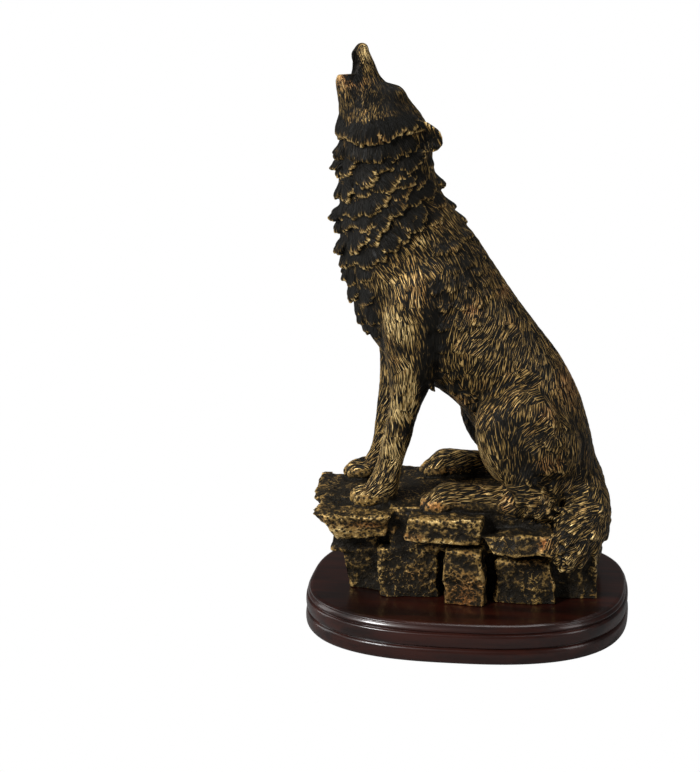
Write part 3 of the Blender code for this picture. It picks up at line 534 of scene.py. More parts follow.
# Flow of the short fur: x, distance from the middle plane, z, run x, run z, length, half width, height
FLOW = [
    (-44, 4, 194, 0.35, -1, 3, 0.45, 0.2), (-42, 14, 176, 0.05, -1, 4, 0.55, 0.32),
    (-28, 8, 177, 0.6, -0.8, 4, 0.55, 0.3), (-38, 17, 170, 0.1, -1, 7, 0.7, 0.6),
    (-26, 18, 160, 0.4, -0.9, 6, 0.75, 0.5), (-27, 26, 108, 0.05, -1, 6, 0.6, 0.4),
    (-20, 28, 95, 0.25, -1, 5, 0.6, 0.4), (-33, 26, 92, 0.3, -1, 5, 0.6, 0.4),
    (-25, 25, 75, 0.25, -1, 5, 0.6, 0.38), (-27, 22, 58, -0.1, -1, 4.5, 0.55, 0.34),
    (-30, 22, 40, -0.15, -1, 4, 0.55, 0.32), (-32, 22, 22, -0.25, -1, 3.5, 0.5, 0.28),
    (-42, 20, 8, -0.9, -0.5, 2.6, 0.45, 0.2), (-6, 4, 128, 0.65, -0.8, 8, 0.95, 0.95),
    (6, 10, 115, 0.5, -0.9, 8, 0.95, 0.95), (16, 4, 104, 0.55, -0.85, 7, 0.9, 0.8),
    (-4, 24, 100, -0.1, -1, 8, 0.85, 0.9), (2, 25, 84, -0.4, -1, 7, 0.75, 0.8),
    (-6, 20, 64, 0.1, -1, 7, 0.75, 0.7), (14, 24, 85, -0.45, -0.9, 6, 0.7, 0.6),
    (26, 22, 74, -0.5, -0.9, 5, 0.65, 0.5), (16, 24, 66, -0.7, -0.75, 5, 0.65, 0.55),
    (36, 14, 74, 0.1, -1, 4.5, 0.6, 0.42), (28, 26, 58, -0.75, -0.7, 5, 0.7, 0.6),
    (42, 22, 52, 0.1, -1, 5.5, 0.7, 0.6), (55, 8, 45, 0.2, -1, 4.5, 0.6, 0.4),
    (12, 30, 44, -0.2, -0.95, 5, 0.6, 0.45), (12, 30, 32, 0.25, -1, 5, 0.6, 0.42),
    (4, 28, 28, 0.35, -1, 4.5, 0.55, 0.38), (22, 30, 26, 0.15, -1, 6, 0.7, 0.6),
    (36, 28, 38, -0.8, -0.5, 7, 0.6, 0.8), (40, 28, 27, 0.35, -0.9, 7, 0.6, 0.8),
    (46, 22, 22, -0.3, -1, 7.5, 0.6, 0.8), (33, 30, 22, -0.6, -0.8, 7, 0.6, 0.8),
    (29, 33, 13, -0.9, -0.3, 9, 0.6, 1), (36, 33, 14, -1, 0.1, 9, 0.6, 1),
    (40, 34, 4, -0.8, -0.6, 9.5, 0.6, 1.1), (54, 24, 9, -0.95, -0.3, 9, 0.6, 1),
    (60, 15, 4, -0.5, -0.9, 9, 0.6, 1), (52, 32, -6, -0.65, -0.8, 9, 0.6, 1.1),
    (46, 38, -18, -0.6, -0.8, 8, 0.6, 1), (62, 18, -10, -0.3, -1, 8, 0.6, 1),
    (0, 30, 6, -1, -0.25, 3.5, 0.5, 0.24), (24, 30, 8, -0.6, -0.7, 4, 0.55, 0.32),
    (-4, 12, 45, 0.3, -1, 7, 0.85, 1.1), (4, 14, 38, 0.35, -1, 7, 0.85, 1.1),
]
FLOW_BLEND = 6.0
# The short fur among the clumps: length, half width, height
CLUMP_FLOW = (6.0, 0.8, 0.6)

# Grain, swirls and unevenness of the short fur
FUR_SPACING = 1.6
SWIRL_SIZE = 11.0
SWIRL = 0.9
FUR_OUTWARD = 0.12
SHORT_FUR_LENGTH = 1.35
SHORT_FUR_HEIGHT = 1.2
TUFT_SPACING = 8.0
SHORT_FUR_WIDTH = 0.78
FUR_LENGTH_SCATTER = (0.8, 1.2)
FUR_SIZE_SCATTER = (0.75, 1.25)
FUR_CURL = 0.5
FUR_SEED = 11

# Along a strand: how far along, share of the width, share of the height, underside, lift of the underside
LONG_STRAND = [
    (0.00, 0.35, 0.00, -1.0, 0.0),
    (0.15, 0.60, 0.10, -1.0, 0.0),
    (0.35, 0.85, 0.32, -1.0, 0.0),
    (0.55, 1.00, 0.58, -1.0, 0.0),
    (0.75, 1.00, 0.86, -1.0, 0.0),
    (0.90, 0.85, 1.00, -0.2, 0.15),
    (1.00, 0.40, 0.92, -0.2, 0.70),
]
SHORT_STRAND = [
    (0.00, 0.40, 0.00, -0.6, 0.0),
    (0.30, 0.90, 0.60, -0.6, 0.0),
    (0.65, 1.00, 1.00, -0.6, 0.0),
    (0.88, 0.65, 0.95, -0.4, 0.0),
    (1.00, 0.20, 0.60, -0.2, 0.2),
]
STRAND_SIDES = 8
SHORT_STRAND_SIDES = 6
STRAND_SWEEP = 1.4
ROOT_DEPTH = 0.4


def ground(surface, place):
    """The nearest point of the clay and the way out of it there."""
    point, normal, _, _ = surface.find_nearest(place)
    return point, normal


def laid(surface, tip, run, length):
    """A strand's root, middle and tip on the clay, with the way out at both ends."""
    end, out_end = ground(surface, tip)
    along = (run - out_end * run.dot(out_end)).normalized()
    start, out_start = ground(surface, end - along * length)
    halfway, _ = ground(surface, (start + end) / 2)
    return start, halfway, end, out_start, out_end


def strand_clay(strands, stages, sides):
    """Points and faces of many strands at once: a pointed, half-sunk lock along each one's path."""
    data = np.array([[*a, *b, *c, *n, *m, *sizes] for a, b, c, n, m, *sizes in strands])
    start, middle, end, out_start, out_end = (data[:, None, 3 * k:3 * k + 3] for k in range(5))
    half, lift, curl = (data[:, None, k:k + 1] for k in (15, 16, 17))
    reach, swell, top, sunk, raised = (np.array(column)[None, :, None] for column in zip(*stages))
    path = start * (1 - reach) * (1 - 2 * reach) + middle * 4 * reach * (1 - reach)
    path = path + end * reach * (2 * reach - 1)
    out = out_start * (1 - reach) + out_end * reach
    out = out / np.linalg.norm(out, axis=2, keepdims=True)
    along = end - start
    across = np.cross(along, out)
    across = across / np.linalg.norm(across, axis=2, keepdims=True)
    path = path + across * curl * np.sin(reach * math.pi * STRAND_SWEEP)
    high = lift * top
    low = sunk * np.minimum(1.0, ROOT_DEPTH + lift) + raised * lift
    turns = np.arange(sides) * math.tau / sides
    aside = across[:, :, None] * (half * swell)[..., None] * np.cos(turns)[None, None, :, None]
    above = (high + low) / 2 + (high - low) / 2 * np.sin(turns)[None, None, :]
    rings = path[:, :, None] + aside + out[:, :, None] * above[..., None]
    count, rows = rings.shape[:2]
    points = rings.reshape(-1, 3)
    ring = np.arange(sides)
    quads = np.stack([ring, (ring + 1) % sides, (ring + 1) % sides + sides, ring + sides], axis=1)
    tube_faces = (quads[None] + (np.arange(rows - 1) * sides)[:, None, None]).reshape(-1, 4)
    first = np.arange(count) * rows * sides
    faces = (tube_faces[None] + first[:, None, None]).reshape(-1, 4)
    last = first + (rows - 1) * sides
    ends = np.concatenate([ring[::-1][None] + first[:, None], ring[None] + last[:, None]])
    return points, faces, ends, len(tube_faces)


# A clump's fan: how its strands bend, and how uneven their ends, heights and widths are
FAN_BEND = 1.2
FAN_BEND_SPREAD = 0.4
FAN_TIP_ROUNDING = 0.20
FAN_EDGE_FALL = 0.3
FAN_ROOT_SHARE = 0.2
REACH_SCATTER = (-0.10, 0.07)
RISE_SCATTER = (0.82, 1.12)
WIDTH_SCATTER = (0.80, 1.05)


def clump_strands(surface, clump, chance, spacing):
    """A fan of strands that ends in a raised, ragged edge."""
    x, y, z, angle, length, width, lift = clump
    angle = math.radians(angle)
    run = Vector((math.cos(angle), 0, -math.sin(angle)))
    start, _, end, _, out = laid(surface, Vector((x, y, z)), run, length)
    along = (end - start).normalized()
    across = along.cross(out).normalized()
    count = max(round(width / spacing), 3)
    bend = chance.uniform(-FAN_BEND, FAN_BEND)
    fan = []
    for k in range(count):
        t = (2 * k + 1) / count - 1
        reach = 1 - FAN_TIP_ROUNDING * t * t + chance.uniform(*REACH_SCATTER)
        tip = start + along * (length * reach) + across * (t * width / 2)
        root, out_root = ground(surface, start + across * (t * width * FAN_ROOT_SHARE))
        tip, out_tip = ground(surface, tip)
        halfway, _ = ground(surface, (root + tip) / 2)
        rise = lift * (1 - FAN_EDGE_FALL * t * t) * chance.uniform(*RISE_SCATTER)
        half = width / count * chance.uniform(*WIDTH_SCATTER)
        curl = bend + chance.uniform(-FAN_BEND_SPREAD, FAN_BEND_SPREAD)
        fan.append((root, halfway, tip, out_root, out_tip, half, rise, curl))
    return fan


# The near foreleg's front edge stands back from the far one's, between the paw and the shoulder
NEAR_FORELEG_BACK = 3.4
NEAR_FORELEG_MIDDLE = 50
NEAR_FORELEG_SPAN = 26
NEAR_FORELEG = [
    (x + NEAR_FORELEG_BACK * math.exp(-((z - NEAR_FORELEG_MIDDLE) / NEAR_FORELEG_SPAN) ** 2), z, *rest)
    for x, z, *rest in FORELEG
]


def body_clay():
    """The wolf without its fur, standing on the rock's top."""
    clay = head_clay()
    bmesh.ops.transform(clay, matrix=TURNED_HEAD, verts=clay.verts)
    loft(clay, TORSO)
    for side, fore_step, toes_step, thigh_step, foot_step in (
        (NEAR_SIDE, 0.0, 0.0, 0.0, 0.0),
        (FAR_SIDE, FAR_FORELEG_STEP, FAR_TOES_STEP, FAR_THIGH_STEP, FAR_FOOT_STEP),
    ):
        limb(clay, NEAR_FORELEG if side == NEAR_SIDE else FORELEG, side, fore_step)
        limb(clay, SHANK, side, thigh_step)
        limb(clay, HIND_FOOT, side, foot_step)
        mass(clay, *pair(*THIGH, side, thigh_step), tilt=THIGH_TILT)
        mass(clay, *pair(*SHOULDER, side), tilt=SHOULDER_TILT)
        mass(clay, *pair(*HIP, side))
        paw(clay, FORE_TOE_X + toes_step, FORELEG[-1][4], side)
        paw(clay, HIND_TOE_X + foot_step, HIND_FOOT[-1][4], side)
    tube(clay, TAIL)
    return clay


def fused(body, voxel, passes):
    """Points and quads of one skin round all the clay of an object. The object is then removed."""
    fuse = body.modifiers.new("fuse", "REMESH")
    fuse.mode = "VOXEL"
    fuse.voxel_size = voxel
    smooth = body.modifiers.new("smooth", "SMOOTH")
    smooth.factor = 0.5
    smooth.iterations = passes
    graph = bpy.context.evaluated_depsgraph_get()
    skin = body.evaluated_get(graph).to_mesh()
    points = np.empty(len(skin.vertices) * 3)
    skin.vertices.foreach_get("co", points)
    quads = np.empty(len(skin.loops), np.int32)
    skin.loops.foreach_get("vertex_index", quads)
    data = body.data
    bpy.data.objects.remove(body)
    bpy.data.meshes.remove(data)
    return points.reshape(-1, 3), quads.reshape(-1, 4)


def flow_at(places, flows):
    """The fur's run and size at each place, blended from the flow points near it."""
    folded = places * (1, 0, 1) + np.abs(places) * (0, 1, 0)
    spread = ((folded[:, None] - flows[None, :, :3]) ** 2).sum(axis=2)
    weight = 1 / (spread + FLOW_BLEND) ** 2
    weight /= weight.sum(axis=1, keepdims=True)
    return weight @ flows[:, 3:]


def scattered(centres, spacing):
    """Indices of faces picked at random, one in each cell of a grid."""
    order = np.random.RandomState(FUR_SEED).permutation(len(centres))
    cells = np.floor(centres[order] / spacing).astype(np.int64)
    _, first = np.unique(cells, axis=0, return_index=True)
    return order[np.sort(first)]


def fur_run(place, run_x, run_z):
    """The way the fur lies at a place, with slow swirls in it."""
    run = Vector((run_x, 0, run_z)).normalized()
    run.y = FUR_OUTWARD if place[1] > 0 else -FUR_OUTWARD
    return Matrix.Rotation(SWIRL * noise.noise(Vector(place) / SWIRL_SIZE), 3, "Y") @ run


def short_fur(surface, points, quads, chance):
    """Small strands all over the body, each lying along the flow."""
    centres = points[quads].mean(axis=1)
    places = centres[scattered(centres, FUR_SPACING)]
    found = flow_at(places, flows)
    strands = []
    for place, (run_x, run_z, length, half, height) in zip(places, found):
        if place[2] < BARE_BELOW and place[0] < BARE_BEFORE:
            continue
        run = fur_run(place, run_x, run_z)
        length *= SHORT_FUR_LENGTH * chance.uniform(*FUR_LENGTH_SCATTER)
        height *= SHORT_FUR_HEIGHT
        start, halfway, end, out_start, out_end = laid(surface, Vector(place), run, length)
        size = chance.uniform(*FUR_SIZE_SCATTER)
        curl = chance.uniform(-FUR_CURL, FUR_CURL) * height
        half = half * size * SHORT_FUR_WIDTH
        strands.append((start, halfway, end, out_start, out_end, half, height * size, curl))
    return strands


# Skin of the casting
# As in a mould, all the clay is one skin. The mouth is pressed in, the underside is flat and the stone is
# weathered with chips and pits.
SKIN_VOXEL = 0.56
SKIN_PASSES = 1
BODY_VOXEL = 1.0
BODY_PASSES = 2
# The hind feet carry no short fur: below this height and in front of this place
BARE_BELOW = 6.0
BARE_BEFORE = 20.0

wolf = added("wolf_clay", mesh_of(body_clay(), "wolf_clay"))
wolf_data = wolf.data.copy()
body_points, body_quads = fused(wolf, BODY_VOXEL, BODY_PASSES)
body_surface = BVHTree.FromPolygons(body_points.tolist(), body_quads.tolist())

chance = random.Random(FUR_SEED)
noise.seed_set(FUR_SEED)
long_strands = []
to_head = TURNED_HEAD.inverted()
for clump in CLUMPS:
    long_strands += clump_strands(body_surface, clump, chance, CLUMP_STRAND)
    if abs(clump[1]) <= MIRRORED_FROM:
        continue
    on_head = clump[2] > HEAD_CLUMPS_FROM
    x, y, z = to_head @ Vector(clump[:3]) if on_head else clump[:3]
    place = Vector((x, -y, z))
    if on_head:
        place = TURNED_HEAD @ place
    long_strands += clump_strands(body_surface, (*place, *clump[3:]), chance, CLUMP_STRAND)
for clump in CHEST_CLUMPS:
    long_strands += clump_strands(body_surface, clump, chance, CLUMP_STRAND)
mane_strands = len(long_strands)
for *place, lift in TAIL_LOCKS + SHAGGY_CLUMPS:
    long_strands += clump_strands(body_surface, (*place, lift * LOCK_LIFT), chance, LOCK_STRAND)
flows = list(FLOW)
for x, y, z, angle, *_ in CLUMPS:
    turn = math.radians(angle)
    flows.append((x, abs(y), z, math.cos(turn), -math.sin(turn), *CLUMP_FLOW))
flows = np.array(flows)
short_strands = short_fur(body_surface, body_points, body_quads, chance)

rock = bmesh.new()
noise.seed_set(STONE_SEED)

# One more stone, which makes the near left slab deeper towards its right end
DEEPER_SLAB = (-62.5, -31.5, -34.4, -12, 28, 39, 5)
for number, bounds in enumerate([*STONES, DEEPER_SLAB]):
    stone(rock, bounds, STONE_SEED + number)
rock_data = mesh_of(rock, "rock_clay")


def mesh_arrays(data):
    points = np.empty(len(data.vertices) * 3)
    data.vertices.foreach_get("co", points)
    return points.reshape(-1, 3), [tuple(face.vertices) for face in data.polygons]


fur_parts = [
    strand_clay(long_strands, LONG_STRAND, STRAND_SIDES),
    strand_clay(short_strands, SHORT_STRAND, SHORT_STRAND_SIDES),
]
clay_points, clay_faces = [], []
first = 0
for data, drop in ((wolf_data, 0.0), (rock_data, ROCK_TOP - CASTING_BOTTOM)):
    points, faces = mesh_arrays(data)
    points = points - (0, 0, drop)
    clay_points.append(points)
    clay_faces += [tuple(v + first for v in face) for face in faces]
    first += len(points)
for points, faces, ends, _ in fur_parts:
    clay_points.append(points)
    clay_faces += (faces + first).tolist() + (ends + first).tolist()
    first += len(points)
clay_data = bpy.data.meshes.new("casting_clay")
clay_data.from_pydata(np.concatenate(clay_points), [], clay_faces)
clay_data.update()
skin_points, skin_quads = fused(added("casting_clay", clay_data), SKIN_VOXEL, SKIN_PASSES)


def quad_edges(quads):
    return np.concatenate([quads[:, [0, 1]], quads[:, [1, 2]], quads[:, [2, 3]], quads[:, [3, 0]]])


def outer_shell(points, quads):
    """Leaves out the closed pockets inside the clay."""
    label = np.arange(len(points))
    edges = quad_edges(quads)
    while True:
        low = np.minimum(label[edges[:, 0]], label[edges[:, 1]])
        new = label.copy()
        np.minimum.at(new, edges[:, 0], low)
        np.minimum.at(new, edges[:, 1], low)
        new = new[new]
        if (new == label).all():
            break
        label = new
    kept = np.bincount(label).argmax()
    inside = label[quads[:, 0]] == kept
    used = np.unique(quads[inside])
    index = np.zeros(len(points), np.int64)
    index[used] = np.arange(len(used))
    return points[used], index[quads[inside]]


skin_points, skin_quads = outer_shell(skin_points, skin_quads)

# The open mouth: skin inside a hollow is pushed back to the hollow's far side
for centre, radii in MOUTH_HOLLOWS:
    place = np.array(TURNED_HEAD @ Matrix.Translation(centre) @ Matrix.Diagonal((*radii, 1)))
    inverse = np.linalg.inv(place)
    spots = skin_points @ inverse[:3, :3].T + inverse[:3, 3]
    pressed = (spots**2).sum(axis=1) < 1
    spots[pressed, 0] = np.sqrt(1 - spots[pressed, 1] ** 2 - spots[pressed, 2] ** 2)
    skin_points[pressed] = spots[pressed] @ place[:3, :3].T + place[:3, 3]


def summed(index, vectors, count):
    """The sum of the vectors that share an index."""
    return np.stack([np.bincount(index, vectors[:, k], count) for k in range(3)], axis=1)


def skin_normals(points):
    """The way out of the skin at each of its points."""
    a, b, c, d = (points[skin_quads[:, k]] for k in range(4))
    face = np.cross(c - a, d - b)
    normals = summed(skin_quads.ravel(), np.repeat(face, 4, axis=0), len(points))
    return normals / np.maximum(np.linalg.norm(normals, axis=1, keepdims=True), 1e-9)


edges = np.unique(np.sort(quad_edges(skin_quads), axis=1), axis=0)
ends = np.concatenate([edges[:, 0], edges[:, 1]])
others = np.concatenate([edges[:, 1], edges[:, 0]])
degree = np.maximum(np.bincount(ends, minlength=len(skin_points)), 1)
RELAX_SHARE = 0.6


def relaxed(points, passes):
    """The skin's points drawn towards the middle of their neighbours."""
    for _ in range(passes):
        mean = summed(ends, points[others], len(points)) / degree[:, None]
        points = points + (mean - points) * RELAX_SHARE
    return points


# Which faces are fur: those within reach of a strand, above the lowest lock of the tail
LOWEST_FUR = -34
FUR_REACH = 1.1
strand_points = np.concatenate([fur_parts[0][0], fur_parts[1][0]])
strand_faces = np.concatenate([fur_parts[0][1], fur_parts[1][1] + len(fur_parts[0][0])])
strand_of_face = np.concatenate([
    np.arange(len(fur_parts[0][1])) // fur_parts[0][3],
    np.arange(len(fur_parts[1][1])) // fur_parts[1][3] + len(long_strands),
])
strand_surface = BVHTree.FromPolygons(strand_points.tolist(), strand_faces.tolist())
all_strands = long_strands + short_strands
roots = np.array([s[0] for s in all_strands])
tips = np.array([s[2] for s in all_strands])
outs = np.array([s[3] for s in all_strands])
lengths = np.linalg.norm(tips - roots, axis=1)
alongs = (tips - roots) / np.maximum(lengths[:, None], 1e-6)
acrosses = np.cross(alongs, outs)
acrosses /= np.maximum(np.linalg.norm(acrosses, axis=1, keepdims=True), 1e-6)
face_centres = skin_points[skin_quads].mean(axis=1)
face_strand = np.full(len(skin_quads), -1)
for index in np.where(face_centres[:, 2] > LOWEST_FUR)[0]:
    _, _, hit, _ = strand_surface.find_nearest(face_centres[index], FUR_REACH)
    if hit is not None:
        face_strand[index] = strand_of_face[hit]
furry = face_strand >= 0

# Last modelling, near side and face: x, y, z, radius, how far the skin is raised or sunk
TOUCHES = [
    (-29.5, 2, 187, 5, 1.6), (-36.5, 2, 190, 3.5, -0.9), (-49, 0, 200, 3, 1), (-40, -9, 184, 2.2, -0.5),
    (-30.5, -25, 77, 2.8, -0.6), (-26.5, -26, 74.5, 2.8, -0.8), (-21, -26, 75, 2.8, -0.7),
    (-28, -27, 83, 6, 0.9), (-25, -24, 61, 6, 0.6), (-12.5, -25, 98, 3, -0.9), (-12, -25, 90, 3, -1.1),
    (-11.5, -24, 82, 3, -1.1), (-11, -23, 74, 3, -1.1), (-11, -22, 66, 3, -1),
    (-47.5, -5, 196, 3, -1.6), (-47.5, -5, 190, 2.6, -1.4),
]
TOUCH_PASSES = 20
smooth_normals = skin_normals(relaxed(skin_points, TOUCH_PASSES))
for x, y, z, radius, amount in TOUCHES:
    away = ((skin_points - (x, y, z)) ** 2).sum(axis=1) / radius**2
    skin_points = skin_points + smooth_normals * (amount * np.exp(-away))[:, None]

# The lower jaw's tip is rounded off
JAW_TIP = (-55.0, 0.0, 190.0)
JAW_TIP_RADIUS = 6.5
JAW_TIP_PASSES = 60
rounded = relaxed(skin_points, JAW_TIP_PASSES)
share = np.exp(-((skin_points - JAW_TIP) ** 2).sum(axis=1) / JAW_TIP_RADIUS**2)[:, None]
skin_points = skin_points + (rounded - skin_points) * share
normals = skin_normals(skin_points)

# Skin below the rock's top that isn't fur is stone
STONE_BELOW = 0.5
vertex_fur = np.zeros(len(skin_points))
np.maximum.at(vertex_fur, skin_quads[furry].ravel(), 1.0)
is_stone = (vertex_fur < 0.5) & (skin_points[:, 2] < STONE_BELOW)

# Weathering of the stone: broad chips, and pits about two millimetres wide
CHIP_SIZE = 8.0
FINE_CHIP_SIZE = CHIP_SIZE * 0.4
PATCH_SIZE = CHIP_SIZE * 1.3
CHIP_DEPTH = 0.65
PIT_SIZE = 1.9
PIT_WARP_SIZE = PIT_SIZE * 1.6
WORM_SIZE = PIT_SIZE * 1.7
PIT_DEPTH = 0.22
PATCH_LEVEL = 0.45
LEAST_PATCH = 0.12
CALM_TOP = 0.85
PIT_OFFSET = Vector((7, 3, 1))
PATCH_OFFSET = Vector((5, 5, 5))
STONE_ROUNDING = 14
CALM_EDGE = 0.45
EDGE_SHARE = 0.25
rounded = relaxed(skin_points, STONE_ROUNDING)
rounded_off = np.linalg.norm(rounded - skin_points, axis=1)
edge_calm = np.exp(-((rounded_off / CALM_EDGE) ** 2))
skin_points[is_stone] = rounded[is_stone]
push = np.zeros(len(skin_points))
for index in np.where(is_stone)[0]:
    place = Vector(skin_points[index])
    chips = noise.noise(place / CHIP_SIZE) * 1.2 + noise.noise(place / FINE_CHIP_SIZE) * 0.7
    warp = noise.noise_vector(place / PIT_WARP_SIZE) * 0.9
    pits = noise.noise(place / PIT_SIZE + warp + PIT_OFFSET)
    worms = 1 - min(abs(noise.noise(place / WORM_SIZE + warp)) * 6, 1)
    patchy = max(noise.noise(place / PATCH_SIZE + PATCH_OFFSET) + PATCH_LEVEL, LEAST_PATCH)
    flat_top = 1 - CALM_TOP * max(normals[index][2], 0)
    pit = PIT_DEPTH * patchy * flat_top * (min(pits, 0.1) * 2.4 + 0.7 * worms)
    push[index] = (CHIP_DEPTH * chips + pit) * (EDGE_SHARE + (1 - EDGE_SHARE) * edge_calm[index])
skin_points = skin_points + normals * push[:, None]
skin_points[:, 2] = np.maximum(skin_points[:, 2], CASTING_BOTTOM - ROCK_TOP)
normals = skin_normals(skin_points)

# Relief of the skin at two scales: how far each point stands out from the smoothed skin round it
FINE_PASSES = 6
BROAD_PASSES = 60
fine = relaxed(skin_points, FINE_PASSES)
broad = relaxed(fine, BROAD_PASSES)
relief = ((skin_points - fine) * normals).sum(axis=1)
form = ((fine - broad) * normals).sum(axis=1)

# Where more or less gold is rubbed on, with painted shade among the spots: darker on the rear of the
# forelegs, along the line between them, behind the shoulder, on the haunch and its back edge, along the left
# slab's bottom and inside the mouth. x, distance from the middle plane, z, spread x, spread z, amount
SPOT_DEPTH = 11.0
EVEN_GILT = 0.5
GILT_AND_SHADE_SPOTS = [
    (-24, 23, 62, 4.5, 9, 0.55), (-21.5, 23, 54, 2.2, 9, 0.9), (-29, 23, 44, 6, 4.5, 1.1),
    (-25, 23, 36, 3.5, 4.5, -0.75), (-30, 23, 24, 4.5, 7, 0.9), (-17, 20, 58, 2.8, 16, -0.9),
    (-19.5, 20, 38, 2.5, 10, -0.7), (-24, 20, 22, 2, 8, -0.6), (-29.5, 23, 66, 2, 7, -0.5),
    (-26, 25, 75, 6, 2.5, -0.4), (-36, 16, 45, 2.5, 16, 0.5), (-43, 22, 0, 6, 6, 0.5),
    (-36, 22, 10, 4, 6, 0.2), (-35, 26, 101, 7, 3, 0.45), (-31, 28, 97, 4, 2.5, -0.35),
    (-18, 28, 98, 3, 5, 0.5), (-29, 28, 87, 8, 6, 0.65), (-24, 28, 80, 4, 4, 0.4),
    (-28, 28, 106, 10, 4, 0.2), (-12, 26, 92, 5, 12, -0.5), (-12, 24, 76, 4, 12, -0.6),
    (-40, 20, 90, 4, 10, -0.5), (-6, 18, 54, 8, 3, -0.35), (8.5, 28, 33, 2, 9, 0.5),
    (13, 30, 18, 3, 7, 0.45), (20, 32, 7, 3, 4, 0.5), (18, 30, 45, 10, 8, -0.35),
    (26, 30, 30, 8, 10, -0.2), (14, 30, 30, 3, 8, 0.25), (1, 14, 33, 4, 12, -0.8),
    (38.5, 30, 26, 5, 4, 0.65), (10, 26, 80, 14, 14, 0.1), (45, 5, 55, 4, 8, 0.45),
    (-12, 30, 0, 6, 3, 0.35), (0, 30, -2, 8, 3, 0.45), (-10, 26, 5, 6, 1.3, 0.4),
    (12, 30, 1, 6, 4, -0.2), (-36, 8, 180, 17, 14, -0.48), (6, 22, 112, 14, 14, -0.28),
    (30, 18, 84, 14, 14, -0.12), (4, 22, 92, 2.2, 3, 0.7), (18, 10, 98, 2.5, 3, 0.6),
    (37.5, 26, 48.5, 4, 3, 0.4), (-6, 20, 48.5, 7, 3.5, 0.9), (-44, 5, 200, 2.5, 3.5, 0.95),
    (-43.2, 6, 193, 1, 4, 0.35), (-54, 5, 191, 2.5, 2.5, 0.8), (-48, 6, 187.8, 4.5, 1, 0.9),
    (-39, 10, 184, 2, 7, 0.2), (-48, 3, 196, 2.8, 6.5, -2.4), (-46.5, 3, 191, 2.4, 2.8, -1.2),
    (-28, 22, 45, 8, 28, 0.22), (-3, 28, 2, 14, 5, 0.18), (-13, 17, 163, 3, 4, -0.5),
    (-36, 16, 166, 5, 2, 0.6), (-28, 18, 168, 4, 2, 0.4), (-46, 10, 164, 5, 2, 0.35),
    (-21, 20, 165, 4, 2, 0.25), (-29, 22, 129, 4, 3, 0.5), (-18, 22, 122, 3, 3, 0.4),
    (-31, 20, 139, 4, 3, 0.3), (-38, 14, 130, 22, 30, -0.14), (-50, 32, -8, 16, 5.5, 0.85),
    (-50, 30, -19, 14, 5, -0.45), (-35.5, 14, 72, 1.4, 7, -1), (-34.2, 14, 59, 1.4, 8, -1),
    (-33.6, 14, 45, 1.4, 9, -0.9), (18, 36, -15, 7, 3, 0.5), (34, 36, -22, 20, 7, -0.1),
    (63, 20, -12, 4, 6, 0.4), (2, 36, -38, 9, 13, 0.35), (-20.7, 36, -32, 5, 5, 0.55),
    (-20, 36, -44, 9, 7, -0.3), (28, 36, -42, 13, 11, -0.25), (-44, 32, -39, 8, 8, -0.3),
    (-15, 32, -42, 10, 6, -0.2), (-46, 32, -22, 10, 4, 0.25), (0, 15, -3, 25, 5, -0.05),
    (56, 12, 25, 8, 25, -0.25), (30, 33, 24, 6, 6, -0.35), (44, 34, 16, 6, 4, -0.2),
    (38.5, 40, -9, 3.5, 2.5, 0.7), (51, 40, -15, 3, 2.5, 0.5), (44, 38, -29, 3.5, 3, 0.55),
    (29, 36, -19, 14, 1.6, 0.55), (-8, 36, -10, 18, 1.6, 0.5), (-20, 36, -16, 6, 7, 0.3),
    (-27, 28, -16, 3.5, 8, -0.6),
]
# Where the gold turns to copper, given in the same way
COPPER_SPOTS = [
    (-53, 5, 190, 4, 4, 0.9), (-46.5, 6, 188, 4, 3, 0.7), (-36, 16, 166, 6, 3, 0.5),
    (-6, 20, 48, 8, 4, 1), (18, 10, 98, 3, 3, 1), (37.5, 26, 48.5, 4, 3, 0.7),
    (38.5, 30, 26, 5, 4, 0.8), (45, 5, 55, 5, 9, 0.9), (-18, 28, 100, 6, 6, 0.35),
    (-8, 18, 88, 3, 3, 0.8), (4, 22, 92, 3, 3, 0.9), (2, 36, -38, 8, 12, 0.8),
    (-20.7, 36, -31, 5, 4, 0.8), (-12, 26, 4, 7, 2, 0.8), (-42, 30, -5, 10, 2, 0.7),
    (20, 32, 7, 3, 4, 0.5), (9, 28, 20, 3, 8, 0.4), (-25, 36, -9, 8, 2, 0.6), (38.5, 40, -9, 4, 3, 0.8),
    (32, 36, -21, 6, 3, 0.6), (44, 38, -29, 4, 4, 0.6),
]


def spots_at(points, spots, start):
    """The blended amount at each point, the same on both sides of the middle plane."""
    amount = np.full(len(points), start)
    for x, y, z, spread_x, spread_z, strength in spots:
        away = ((points[:, 0] - x) / spread_x) ** 2 + ((points[:, 2] - z) / spread_z) ** 2
        away += ((np.abs(points[:, 1]) - y) / SPOT_DEPTH) ** 2
        amount += strength * np.exp(-away)
    return amount


# The gold map, with painted shade in it where its spots darken the skin
gilt_and_shade = spots_at(skin_points, GILT_AND_SHADE_SPOTS, EVEN_GILT)
copper = spots_at(skin_points, COPPER_SPOTS, 0.0)

# The paint's hairs take their direction from a map: millimetres along and across each strand
STRAND_SCATTER = 0.6180339
SHIFT_ALONG = 400
SHIFT_ACROSS = 90


def strand_places(corners, owners, starts, directions, sides):
    """Distance along the owner's direction, and the same with the distance across, shifted apart by owner."""
    arm = corners - starts[owners][:, None]
    run = (arm * directions[owners][:, None]).sum(axis=2)
    side = (arm * sides[owners][:, None]).sum(axis=2)
    shift = ((owners * STRAND_SCATTER) % 1)[:, None]
    return run, np.stack([run + shift * SHIFT_ALONG, side + shift * SHIFT_ACROSS], axis=2)


owner = np.maximum(face_strand, 0)
corner_points = skin_points[skin_quads]
run, strand_map = strand_places(corner_points, owner, roots, alongs, acrosses)
reach = np.where(furry[:, None], np.clip(run / lengths[owner][:, None], 0, 1), 0.0)

# How much a face is painted like the mane's clumps
LOCK_LIKE_MANE = 0.4
in_clump = np.where(face_strand < mane_strands, 1.0, LOCK_LIKE_MANE)
in_clump = in_clump * furry * (face_strand < len(long_strands))

